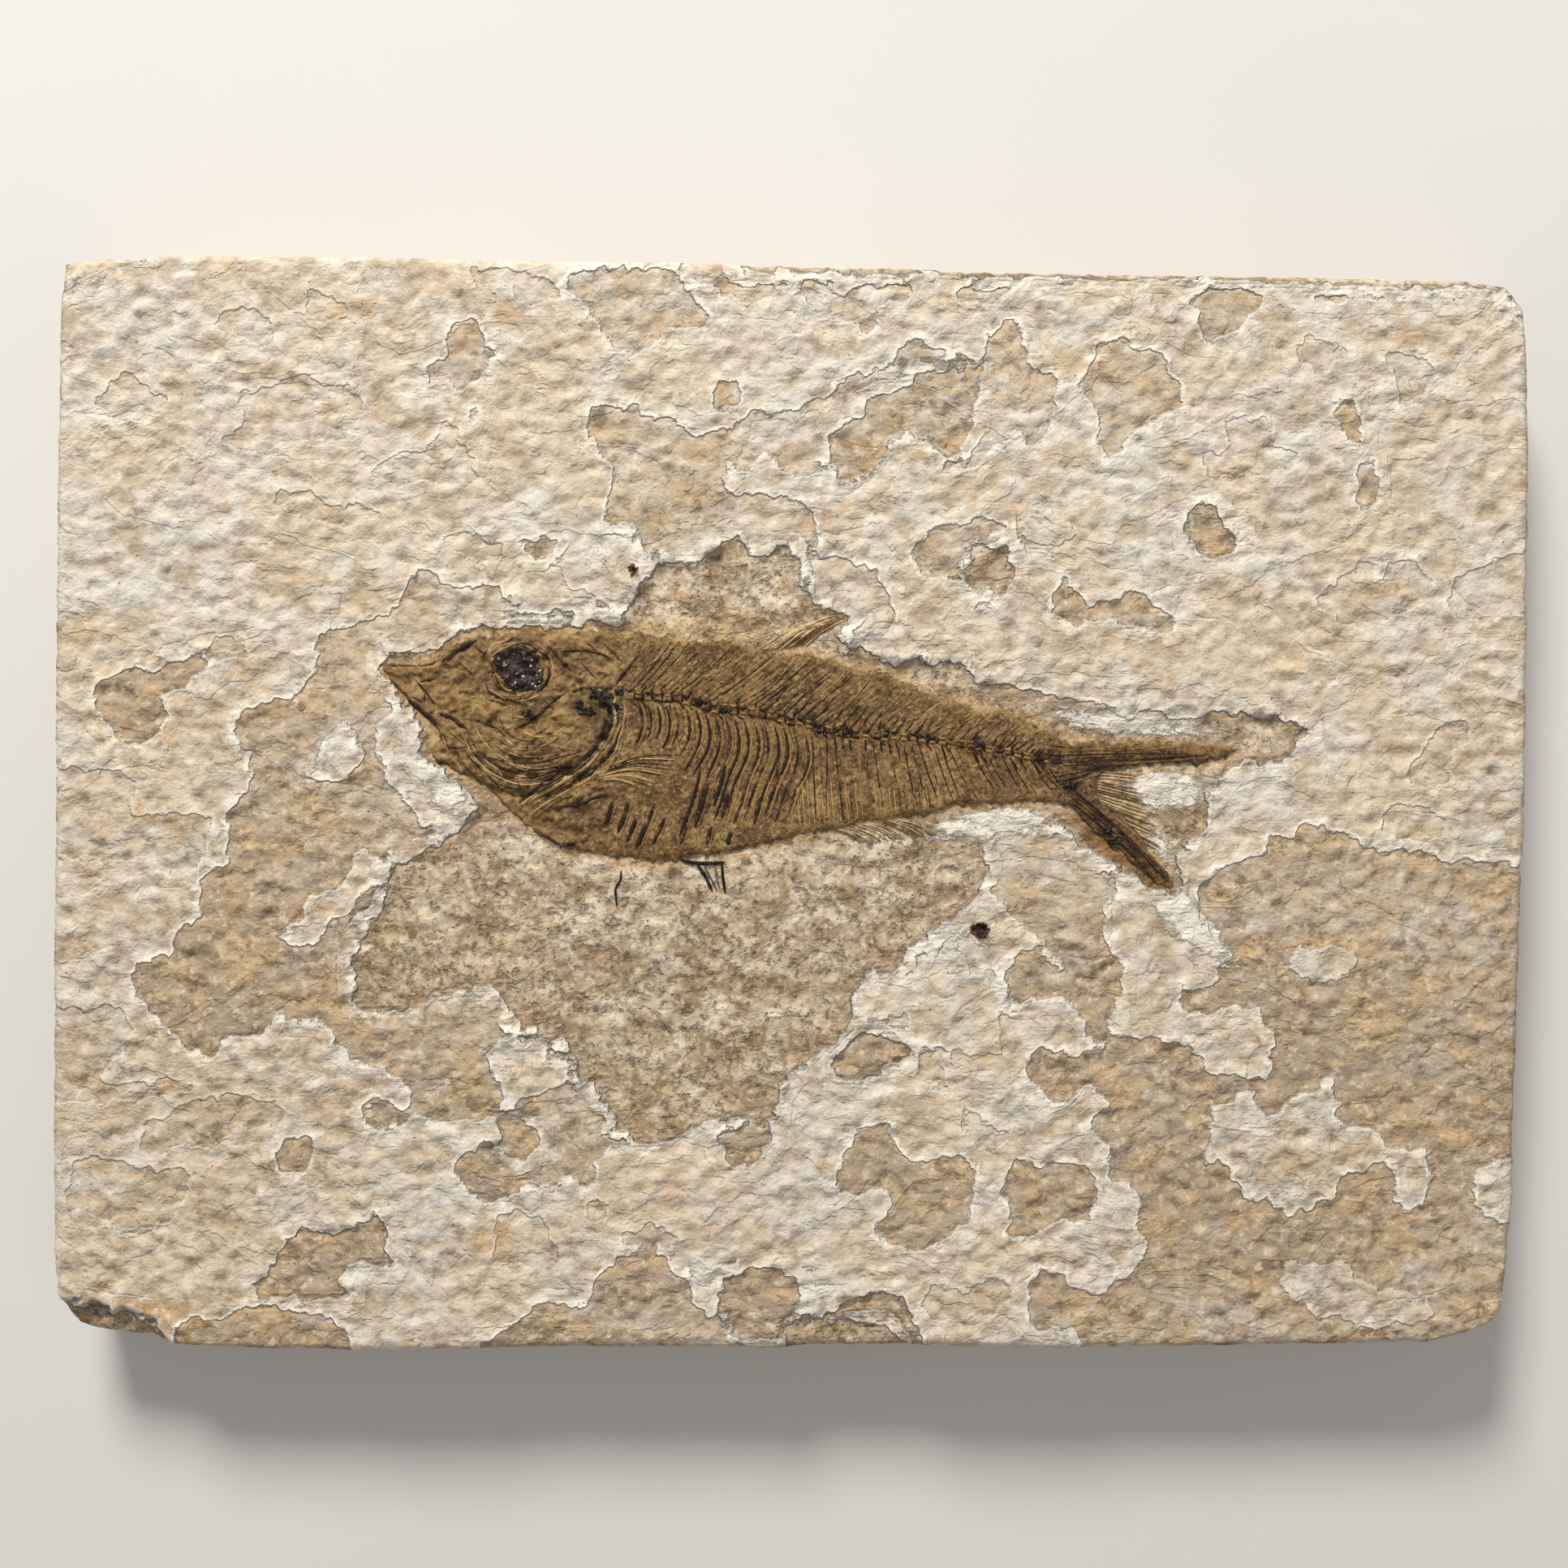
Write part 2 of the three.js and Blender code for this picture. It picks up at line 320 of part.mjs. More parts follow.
    [43.5, 30.7], [44, 30.3], [43, 29], [41.2, 28.4], [36.3, 28], [35.6, 29.2], [35.8, 30.9],
    [37, 30.3], [38.2, 30.8], [37.6, 32],
  ] },
  { level: LOW, name: 'kidney pit', outline: [
    [35.3, 25.8], [35.8, 26.2], [36.6, 26], [37.1, 25], [37.1, 24.3], [38, 23.9],
    [38.8, 22.7], [37.7, 21.5], [36.2, 21], [35.8, 21.5], [34.6, 23], [34.1, 23.4],
    [34.1, 24.2], [35, 25.2],
  ] },
  { level: MID, name: 'finger pit', outline: [
    [48.8, 26], [49, 27.5], [48.8, 28.5], [49.5, 29.5], [50.6, 29.5], [50.5, 28.4],
    [50.7, 26.5], [50, 25.1], [49.2, 25.2],
  ] },
  { level: DIP, name: 'butterfly dip', outline: [
    [45.1, 17.3], [46.5, 18.6], [48, 20], [50, 21], [50.5, 20.3], [50, 19.3], [51.4, 19.3],
    [51.6, 20.6], [52.2, 21.2], [54.4, 20.9], [55.3, 19], [54.2, 17.2], [52, 16], [49, 15.2],
    [47.2, 15.4], [46.6, 16.4],
  ] },
  { level: DIP, name: 'dip at the right edge', outline: [
    [57, 19], [58, 19.8], [60, 20], [61, 21.4], [66, 22], [66, 15.6], [61, 16], [60, 15.5],
    [58.8, 15.9], [58, 15.6], [56.9, 16.8],
  ] },
  { level: DIP, name: 'dip right of the tail', outline: [
    [56.4, 7], [57.8, 7.2], [58.8, 6.2], [57.6, 4.6], [56.4, 3], [57.4, 2], [55.4, 1.2],
    [53.4, 1.8], [53.6, 3.2], [54.6, 4.6], [55.6, 5.6],
  ] },
  { level: DIP, name: 'round hollow at the left edge', outline: [
    [-50.5, 12], [-49, 12.4], [-48, 12.2], [-47.2, 12.5], [-46.7, 14], [-49, 14.4],
    [-50.8, 13.6],
  ] },
  { level: MID, name: 'ochre hollow at the left edge', outline: [
    [-59.9, 7.3], [-58.9, 6.8], [-58.4, 5.8], [-57.4, 5.1], [-56, 4.9], [-54.9, 5.4],
    [-54.3, 6.3], [-54, 8.5], [-54.5, 9.3], [-52, 9.9], [-51.7, 10.8], [-50.3, 11.9],
    [-51.5, 12.8], [-54.5, 11.7], [-57.5, 11.5], [-60.3, 9.8],
  ] },
  { level: DIP, name: 'dip across the left edge', outline: [
    [-66, -5], [-61, -4.6], [-57.4, -5.1], [-55.1, -4.2], [-54.7, -5.2], [-53.2, -6.3],
    [-51.9, -6], [-50.9, -5], [-49.9, -2], [-50.1, -1], [-52, -0.8], [-57, -1], [-56.8, 1.5],
    [-57.5, 2.9], [-61, 3], [-66, 3.2],
  ] },
  { level: DIP, name: 'lower dip across the left edge', outline: [
    [-66, -18], [-60.5, -17.8], [-58.5, -17.5], [-57, -18.8], [-58, -21.2], [-60.3, -24.3],
    [-55, -24.1], [-52, -23.7], [-51, -24.6], [-60, -26], [-66, -26],
  ] },
  { level: DIP, name: 'long hollow lower left', outline: [
    [-56, -30.2], [-54, -30.1], [-52.9, -29.9], [-52, -29], [-51.3, -29.7], [-50, -29.7],
    [-48.9, -29.2], [-48.2, -28.2], [-45, -27.6], [-43.9, -28.2], [-44, -26], [-48, -25],
    [-52, -26], [-56, -28],
  ] },
  { level: DIP, name: 'wedge hollow lower left', outline: [
    [-61.5, -30.5], [-58.5, -30.8], [-56, -31.5], [-53, -31.4], [-51.9, -31.8],
    [-51.8, -32.8], [-53.1, -35.1], [-53.1, -36], [-57.5, -37.3], [-60, -35.5],
    [-62.5, -35], [-62.5, -32.6],
  ] },
  { level: MID, name: 'pit right of the long hollow', outline: [
    [-44.3, -31.8], [-43.4, -32.1], [-41.4, -31.7], [-41.2, -30], [-41.5, -28.9], [-43.4, -29],
    [-44.4, -30.2],
  ] },
  { level: MID, name: 'notch left of the bed corner', outline: [
    [-35.3, -25.4], [-34.2, -26.3], [-32.4, -26.6], [-34.6, -28], [-35.7, -28.5],
    [-37.2, -27.3], [-36.9, -26.5],
  ] },
  { level: LOW, name: 'brown pit lower left', outline: [
    [-46.3, -41.8], [-45.8, -41], [-45, -40.2], [-44.6, -39.2], [-43.8, -38], [-43, -37.2],
    [-41.8, -36.8], [-39.4, -37.3], [-38.4, -36.6], [-36.2, -35.6], [-35.3, -36],
    [-35, -37], [-35.2, -38.8], [-34, -39.2], [-34.3, -40.1], [-36.4, -39.8], [-38.3, -39.6],
    [-39.1, -41.4], [-37.8, -42.4], [-40, -42.9], [-43.5, -42.8], [-46.2, -42.5],
  ] },
  { level: LOW, name: 'pit in the left sheet', outline: [
    [-25.3, -27.5], [-24, -27.3], [-22.5, -28.2], [-21.6, -28.5], [-21.9, -29.5],
    [-23.2, -31.2], [-24.4, -30.8], [-24.9, -29.5],
  ] },
  { level: LOW, name: 'bay below the bed', outline: [
    [-6.3, -28.3], [-6.2, -29.6], [-5.6, -30.6], [-4.7, -31.2], [-3.8, -31.1],
    [-2.8, -30.4], [-1.8, -29.3], [-1.5, -28], [-2.2, -27.5], [-4.5, -27.6],
  ] },
  { level: DIP, name: 'small pit below the bed', outline: [
    [-18, -35.6], [-17.3, -35.9], [-16.2, -35.9], [-15.7, -35.4], [-16.4, -34.2],
    [-17.2, -34.1],
  ] },
  { level: DIP, name: 'square pit lower left', outline: [
    [-24.9, -35.3], [-25.6, -36.3], [-25.5, -38.8], [-26.3, -39.5], [-23, -40],
    [-20.4, -40.1], [-20, -39.2], [-20.8, -36.9], [-21.7, -35.9], [-23, -35.4],
  ] },
  { level: DIP, name: 'cap over the ochre bite', outline: [
    [-14.7, -37.5], [-14, -36.9], [-11.3, -36.2], [-9.6, -37.8], [-9.5, -38.3],
    [-11.5, -38.6], [-14, -38.7],
  ] },
  { level: LOW, name: 'rabbit pit', outline: [
    [3.2, -22.8], [3.8, -21.9], [5.5, -20.2], [6.3, -19.8], [7.8, -20], [10, -21.2],
    [9.9, -22.3], [9.3, -22.7], [7.9, -22.3], [7.9, -23.2], [7.5, -23.9], [5.2, -24],
    [4.2, -23.9],
  ] },
  { level: DIP, name: 'dip right of the rabbit', outline: [
    [10.6, -21.5], [12.7, -21.4], [12.9, -22.5], [13.1, -23.5], [13.9, -25], [12, -24.3],
    [10.5, -23.5],
  ] },
  { level: MID, name: 'great pit lower middle', outline: [
    [8.6, -27.6], [6, -28], [5.2, -28.9], [4.8, -30.2], [4.7, -31.2], [3.8, -31.7],
    [3.8, -32.6], [5, -34], [6.5, -33.4], [7, -33], [8, -33.4], [8.7, -34.7], [7.4, -36.2],
    [7.2, -37], [7.9, -37.8], [11, -38.8], [13, -38], [13.4, -37.2], [14.6, -36.6],
    [15.4, -35.4], [15.9, -32.5], [15.7, -31.2], [14.5, -30.4], [11, -30.8], [9.8, -31],
    [8.8, -29.6],
  ] },
  { level: DIP, name: 'slipper pit', outline: [
    [15.2, -26.2], [16.3, -27.2], [17, -28], [18.3, -28.1], [18.8, -29], [18.4, -29.8],
    [17, -29.8], [15.8, -29.3], [15, -28.4], [14.7, -27.2],
  ] },
  { level: MID, name: 'boot pit', outline: [
    [18.3, -33.5], [18.6, -31.8], [19.2, -30.8], [20.5, -30.8], [21.2, -31.6], [22.5, -31],
    [25.8, -31.2], [26.6, -34.3], [25.8, -36], [22.6, -36], [21.2, -37.3], [19.7, -37.7],
    [19, -37.5], [18.8, -34.8],
  ] },
  { level: DIP, name: 'dip above the lower edge', outline: [
    [15.8, -44.6], [17.8, -44], [18.8, -43], [18.8, -41.4], [17.6, -41], [15, -42],
    [12, -41.6], [11.2, -43.6], [12.4, -44.8],
  ] },

  // Bites out of the rim, where the thin sheets broke back from the edge.
  { level: LOW, name: 'bite at the top left corner', outline: [
    [-66, 43.8], [-62.4, 44.2], [-61.2, 45.2], [-59, 46.3], [-56, 46.8], [-56, 50], [-66, 50],
  ] },
  { level: MID, name: 'ochre bite at the top middle', outline: [
    [-9.3, 50], [-9.3, 46.2], [-8.3, 45.3], [-6.6, 44.9], [-5.8, 44.1], [-4.4, 43.6],
    [-2.8, 43.3], [-1.5, 43.5], [-1.2, 44.7], [2, 45.1], [4, 45.1], [5.5, 44.8], [6.8, 45.7],
    [7, 50],
  ] },
  { level: MID, name: 'bite at the top right', outline: [
    [40.6, 50], [40.8, 44.8], [45, 44.6], [45.3, 43.7], [46.8, 43.2], [49, 43.8], [55, 43.8],
    [57.5, 43.3], [59, 43.9], [60.3, 43.9], [61.2, 42.8], [62.5, 42], [66, 41.6], [66, 50],
  ] },
  { level: RIM, name: 'broken rim along the top', outline: [
    [-4, 50], [-4.5, 46.3], [2, 46.1], [8, 46], [14, 45.6], [21, 45.5], [30, 45.3],
    [36, 45.6], [43, 45.1], [50, 44.9], [55, 44.5], [58, 44.6], [60.8, 44.9], [63, 43.4],
    [66, 43], [66, 50],
  ] },
  { level: DEEP_RIM, name: 'deeper rim at the top right', outline: [
    [12, 50], [12, 46.1], [22, 45.9], [33, 45.7], [45, 45.4], [54, 45], [60, 45.1],
    [66, 44.6], [66, 50],
  ] },
  { level: RIM, name: 'bevel at the lower left corner', outline: [
    [-66, -42.6], [-62, -43], [-60, -43.2], [-58, -43.9], [-56, -44.3], [-54.5, -45],
    [-53.5, -50], [-66, -50],
  ] },
  { level: DEEP_RIM, name: 'deeper bevel at the lower left corner', outline: [
    [-66, -44.2], [-61.5, -44.4], [-58, -44.9], [-55.5, -45.7], [-54.2, -50], [-66, -50],
  ] },
  { level: MID, name: 'shell bite left', outline: [
    [-53.5, -45.3], [-51, -44.8], [-49.5, -44.7], [-47, -43.4], [-45, -43.3], [-41, -44.2],
    [-39.5, -44.8], [-38.3, -45.5], [-37.3, -50], [-53.5, -50],
  ] },
  { level: MID, name: 'great shell bite', outline: [
    [-27, -46.7], [-24.5, -45.5], [-23.2, -44.2], [-22, -43.4], [-20.7, -43.3],
    [-17.4, -43.6], [-17.2, -42.5], [-17, -41.3], [-16.2, -40.2], [-15, -39.2],
    [-11.7, -38.7], [-9.7, -40.8], [-8.9, -41.9], [-8.2, -43.8], [-7, -44.2], [-5.3, -45],
    [-3.5, -46.6], [-3, -50], [-27, -50],
  ] },
  { level: LOW, name: 'ochre scoop at the lower middle', outline: [
    [-6.2, -43.2], [-6, -42], [-5.3, -40.9], [-4, -40.3], [-2, -40.1], [-0.6, -40.5],
    [0.4, -41.3], [0.9, -42.5], [0.2, -44.4], [-0.3, -46.3], [-3.6, -46.4], [-5.6, -44.6],
  ] },
  { level: LOW, name: 'shell bite right of the middle', outline: [
    [-0.8, -50], [-0.6, -46.2], [0.6, -44.6], [2, -43.8], [4.5, -43.2], [7.6, -42.2],
    [9, -42.2], [10, -43.4], [10.3, -44.4], [11.2, -46], [12.2, -50],
  ] },
  { level: RIM, name: 'deeper shell bite right of the middle', outline: [
    [-0.4, -50], [0.2, -45.6], [3.3, -44.9], [7.5, -45], [9.3, -46], [11.4, -50],
  ] },
];

// The fish. Each bone or film is an outline on the bed or on the piece below it.
const SKULL_OUTLINE = [
  [-35.6, 11.5], [-35, 12], [-33, 12], [-31.6, 12], [-30.4, 12.2], [-30, 12.9], [-29.2, 13.6],
  [-28.2, 14.2], [-26, 14.6], [-25, 14.5], [-22.8, 14.9], [-17, 14.9], [-14.9, 14.7],
  [-15.1, 13.2], [-15.3, 11.7], [-14.9, 10.2], [-15.1, 9.2], [-16, 8], [-16.4, 7],
  [-16.8, 5.8], [-17.3, 4.5], [-18.2, 3.6], [-19.5, 2.7], [-20.7, 2.1], [-22, 1.3],
  [-23.2, 0.3], [-24.4, -0.6], [-25, 0.5], [-26, 1.3], [-27, 1.9], [-28, 2.5], [-29.8, 3.3],
  [-30.6, 3.7], [-31.2, 4.2], [-31.1, 4.8], [-30.5, 5.2], [-30.4, 6.4], [-31.2, 7.3],
  [-32.2, 8.1], [-33.2, 9.2], [-34.7, 10.6],
];
const TRUNK_OUTLINE = [
  [-14.6, 14.7], [-13, 14.8], [-11, 14.3], [-8.6, 14], [-6.8, 14.1], [-4.2, 13.8],
  [-3, 13.2], [-1.5, 13], [1, 12.9], [3, 12.6], [5, 11.7], [6.2, 11.5], [7.6, 11.5],
  [9.5, 10.7], [10.8, 9.9], [12.5, 9.2], [14.2, 8.8], [16, 8.1], [18.6, 7.9], [20.7, 6.9],
  [22.5, 6], [24.2, 5.3], [24.4, 2.5], [24, -0.2], [23, 0], [20.5, 0.4], [18, 0.1],
  [14.3, 0], [12.5, -0.7], [10, -1], [7, -1.4], [4.5, -2], [2, -2.4], [-0.7, -3],
  [-3, -3.7], [-5.5, -4.1], [-8.7, -4.5], [-10, -4.9], [-12.5, -4.8], [-15.5, -4.5],
  [-17.5, -4], [-19.5, -4], [-21.3, -3], [-21.9, -2.3], [-23.4, -1.5], [-22.4, -0.8],
  [-21.4, -0.1], [-19.9, 0.7], [-18.3, 1.3], [-17.2, 2], [-16.4, 3], [-15.6, 4.3],
  [-14.9, 5.8], [-14.5, 7], [-14.1, 8.2], [-14.7, 9.4], [-14.6, 10.2], [-15, 11.7],
  [-14.8, 13.2],
];
const GIRDLE_OUTLINE = [
  [-15.7, 8.1], [-15, 9], [-14.4, 8.3], [-14.8, 7], [-15.2, 5.8], [-15.9, 4.4], [-16.7, 3.2],
  [-17.5, 2.3], [-18.5, 1.6], [-20.1, 1], [-21.6, 0.2], [-22.6, -0.5], [-23.6, -1.1],
  [-24, -0.6], [-22.8, 0.4], [-21.7, 1.2], [-20.4, 2], [-19.2, 2.6], [-17.9, 3.5],
  [-17, 4.5], [-16.5, 5.8], [-16.1, 7],
];
const EYE_OUTLINE = [
  [-25.7, 12.4], [-24.9, 13], [-24, 13.3], [-22.7, 13.2], [-21.9, 12.4], [-21.9, 11.4],
  [-21.6, 10.6], [-22.2, 10.1], [-23.3, 9.9], [-24.1, 10], [-24.7, 10.7], [-25.2, 11.5],
];
const DORSAL_FIN_OUTLINE = [
  [-3, 13.6], [-1.8, 14.2], [-0.5, 14.9], [1, 15.7], [2.7, 16.25], [3.2, 15.9], [4.6, 16.4],
  [4.7, 16.1], [3.5, 15.2], [3.3, 14.6], [2, 14.2], [0.3, 13.5], [-1.2, 13.25],
];
const PECTORAL_FIN_OUTLINE = [
  [-17, 2.4], [-16, 2.9], [-13, 3.6], [-9.4, 4], [-11.5, 2.9], [-12.5, 1.8], [-12.9, 1.2],
  [-14, 1.1], [-16, 1.6], [-17.1, 1.9],
];
const ANAL_FIN_OUTLINE = [
  [5, -2.2], [7, -1.8], [10, -1.4], [12.3, -1.1], [12.4, -2.2], [10.4, -3], [7, -3.4],
  [5.4, -3.2],
];
const TAIL_UPPER_OUTLINE = [
  [24.7, 5.2], [27.5, 5.1], [29.2, 4.9], [30, 4.6], [31, 4.9], [34, 4.9], [35.1, 4.2],
  [36, 4.5], [36.9, 4.3], [37.6, 4.7], [39, 4.9], [37.8, 4.2], [36.5, 3.9], [35, 3.6],
  [31.5, 3.6], [28.2, 3], [27, 2.9], [24.9, 2.6],
];
const TAIL_LOWER_OUTLINE = [
  [24.9, 2.3], [26.3, 2.3], [26.6, 1.5], [26.5, 0.7], [27.4, -0.7], [28.8, -1.3],
  [29.9, -2.7], [31.2, -4.5], [32.6, -6.2], [33.3, -7], [33, -7.4], [31.8, -6.9],
  [29.6, -5], [28.8, -4], [28, -3.8], [26, -1.9], [25, -0.9], [24.5, -0.3],
];
const PELVIC_FIN_OUTLINE = [
  [-8.6, -5.1], [-5.7, -5], [-5.8, -5.3], [-5.75, -6.5], [-5.5, -7.8], [-5.75, -7.85],
  [-6, -6.5], [-6.15, -5.35], [-7, -5.35], [-6.85, -6.3], [-6.3, -7.5], [-6.5, -7.7],
  [-7.1, -6.7], [-7.55, -5.4], [-8.6, -5.35],
];
const UPPER_CHIP_OUTLINE = [
  [-13.95, 20.6], [-13.4, 20.9], [-13.3, 20.3], [-13.45, 19.75], [-13.85, 19.65], [-13.9, 20.1],
];
const LOWER_CHIP_OUTLINE = [
  [15.5, -11], [15.8, -10.5], [16.2, -10.2], [16.6, -10.4], [17.1, -10.4], [17.1, -10.9],
  [16.8, -11.2], [16.9, -11.6], [16.4, -11.7], [16.1, -11.4], [15.6, -11.3],
];

// The backbone's middle line, head to tail, and its half width at each end.
const BACKBONE_LINE = [
  [-14.3, 9.5], [-11.5, 9.2], [-9.5, 9.1], [-7, 8.4], [-4.5, 8], [-1.5, 7.6], [1.5, 6.8],
  [3.6, 6.3], [6.5, 6], [10, 5.8], [13.5, 5.4], [16.4, 4.9], [19.5, 4.3], [21.6, 3.8],
  [23.8, 3.6],
];
const BACKBONE_HALF_WIDTH = [0.5, 0.3];

// Ribs hang from just under the backbone, bow towards the tail and lean back to the belly.
// Each row is the x of the upper end, and how far down the rib can be followed.
const RIBS = [
  [-13, 3.6], [-12.1, 3.4], [-11, 3.9], [-10.1, 3.6], [-9.1, 3.7], [-8.2, 5.4], [-7.4, 6],
  [-6.6, 8.6], [-5.7, 8.4], [-4.9, 8.8], [-4.1, 9.4], [-3.2, 9], [-2.4, 9.2], [-1.5, 8.8],
  [-0.7, 8.6], [0.2, 8], [1.1, 7.4],
];
const RIB_TOP_GAP = 0.75; // from the backbone's middle line to the rib
const RIB_HALF_WIDTH = 0.13;
const RIB_BOW = 0.55;
const RIB_LEAN = 0.2; // sideways travel for each unit of drop

// Lower ends of the front ribs, seen again below the pectoral fin: top and bottom points.
const BELLY_RIBS = [
  [[-14, 0.4], [-15, -2.6]], [[-13.4, -1.3], [-14.2, -3.4]], [[-11.8, 0], [-13, -3.6]],
  [[-10.9, -1.2], [-12, -3.6]], [[-8, 2.9], [-9.9, -2.9]], [[-7.9, 1], [-8.9, -2.1]],
];
const BELLY_RIB_HALF_WIDTH = 0.16;

// A single loose fin ray lying below the belly.
const LOOSE_RAY_LINE = [[-14.7, -5.7], [-14.8, -6.7], [-15.2, -7.4], [-15.1, -9]];
const LOOSE_RAY_HALF_WIDTH = 0.09;

function prism(outline, bottom, top) {
  const shape = new THREE.Shape(outline.map(([x, y]) => new THREE.Vector2(x, y)));
  const geometry = new THREE.ExtrudeGeometry(shape, { depth: top - bottom, bevelEnabled: false });
  return geometry.translate(0, 0, bottom);
}

function solidFrom(geometry) {
  const bare = geometry.clone();
  bare.deleteAttribute('normal');
  bare.deleteAttribute('uv');
  const merged = mergeVertices(bare, 1e-5);
  return new wasm.Manifold(new wasm.Mesh({
    numProp: 3,
    vertProperties: new Float32Array(merged.attributes.position.array),
    triVerts: new Uint32Array(merged.index.array),
  }));
}

function geometryFrom(solid) {
  const mesh = solid.getMesh();
  const geometry = new THREE.BufferGeometry();
  geometry.setAttribute('position', new THREE.BufferAttribute(mesh.vertProperties, 3));
  geometry.setIndex(new THREE.BufferAttribute(mesh.triVerts, 1));
  geometry.computeVertexNormals();
  return geometry;
}

// The block up to its face, then each sheet in turn: cut down to its level and filled up to it.
function slabGeometry() {
  const reach = solidFrom(prism(SLAB_OUTLINE, 0, ABOVE));
  let slab = solidFrom(prism(SLAB_OUTLINE, 0, FACE));
  for (const { level, outline } of SHEETS) {
    const filled = solidFrom(prism(outline, Math.min(level, ROOT) - 1, level)).intersect(reach);
    slab = slab.subtract(solidFrom(prism(outline, level, ABOVE))).add(filled);
  }
  return geometryFrom(slab.simplify(SMALLEST_EDGE));
}

// The outline of a band that follows a line, with its half width running from w0 to w1.
function band(line, w0, w1 = w0) {
  const left = [];
  const right = [];
  line.forEach(([x, y], i) => {
    const [ax, ay] = line[Math.max(i - 1, 0)];
    const [bx, by] = line[Math.min(i + 1, line.length - 1)];
    const along = Math.hypot(bx - ax, by - ay);
    const w = THREE.MathUtils.lerp(w0, w1, i / (line.length - 1)) / along;
    left.push([x - w * (by - ay), y + w * (bx - ax)]);
    right.unshift([x + w * (by - ay), y - w * (bx - ax)]);
  });
  return [...left, ...right];
}

function backboneHeightAt(x) {
  const i = BACKBONE_LINE.findIndex(([px]) => px > x);
  const [ax, ay] = BACKBONE_LINE[i - 1];
  const [bx, by] = BACKBONE_LINE[i];
  return THREE.MathUtils.mapLinear(x, ax, bx, ay, by);
}

function ribLine(x, drop) {
  const steps = 6;
  const top = backboneHeightAt(x) - RIB_TOP_GAP;
  return Array.from({ length: steps + 1 }, (_, i) => {
    const t = i / steps;
    const bow = RIB_BOW * Math.sin(Math.PI * Math.min(1, t * drop / 5));
    return [x + bow - RIB_LEAN * drop * t * t, top - drop * t];
  });
}

const stone = new THREE.MeshStandardMaterial({ color: 0xcdbb98, roughness: 0.9, metalness: 0 });
const film = new THREE.MeshStandardMaterial({ color: 0x6b4d2c, roughness: 0.75, metalness: 0 });
const bone = new THREE.MeshStandardMaterial({ color: 0x4a3524, roughness: 0.65, metalness: 0 });
const darkBone = new THREE.MeshStandardMaterial({ color: 0x1f1a1a, roughness: 0.5, metalness: 0 });
const paleFin = new THREE.MeshStandardMaterial({ color: 0xa98a5a, roughness: 0.8, metalness: 0 });

const fossil = new THREE.Group();

function place(name, geometry, material) {
  const mesh = new THREE.Mesh(geometry, material);
  mesh.name = name;
  fossil.add(mesh);
}

place('limestone_slab', slabGeometry(), stone);
place('skull', prism(SKULL_OUTLINE, BED, FILM_TOP), film);
place('body_film', prism(TRUNK_OUTLINE, BED, FILM_TOP), film);
place('shoulder_girdle', prism(GIRDLE_OUTLINE, BED, FILM_TOP + BONE), bone);
place('eye', prism(EYE_OUTLINE, FILM_TOP, FILM_TOP + BONE), darkBone);
place('backbone', prism(band(BACKBONE_LINE, ...BACKBONE_HALF_WIDTH), FILM_TOP, FILM_TOP + BONE), bone);
place('pectoral_fin', prism(PECTORAL_FIN_OUTLINE, FILM_TOP, FILM_TOP + BONE), bone);
place('dorsal_fin', prism(DORSAL_FIN_OUTLINE, BED, BED + BONE), paleFin);
place('anal_fin', prism(ANAL_FIN_OUTLINE, BED, BED + BONE / 2), paleFin);
place('pelvic_fin', prism(PELVIC_FIN_OUTLINE, BED, BED + BONE), darkBone);
place('tail_fin_upper', prism(TAIL_UPPER_OUTLINE, BED, FILM_TOP), film);
place('tail_fin_lower', prism(TAIL_LOWER_OUTLINE, BED, FILM_TOP), film);
place('loose_ray', prism(band(LOOSE_RAY_LINE, LOOSE_RAY_HALF_WIDTH), BED, BED + BONE), darkBone);
place('bone_chip_upper', prism(UPPER_CHIP_OUTLINE, HIGH, HIGH + BONE), darkBone);
place('bone_chip_lower', prism(LOWER_CHIP_OUTLINE, FACE, FACE + BONE), darkBone);

RIBS.forEach(([x, drop], i) => {
  const outline = band(ribLine(x, drop), RIB_HALF_WIDTH, RIB_HALF_WIDTH / 2);
  place(`rib_${i + 1}`, prism(outline, FILM_TOP, FILM_TOP + BONE), bone);
});
BELLY_RIBS.forEach((line, i) => {
  const outline = band(line, BELLY_RIB_HALF_WIDTH, BELLY_RIB_HALF_WIDTH / 2);
  place(`belly_rib_${i + 1}`, prism(outline, FILM_TOP, FILM_TOP + BONE), darkBone);
});

export default fossil;
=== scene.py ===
"""A small fossil fish in a slab of split limestone, lying on its back and lit from above."""
import math

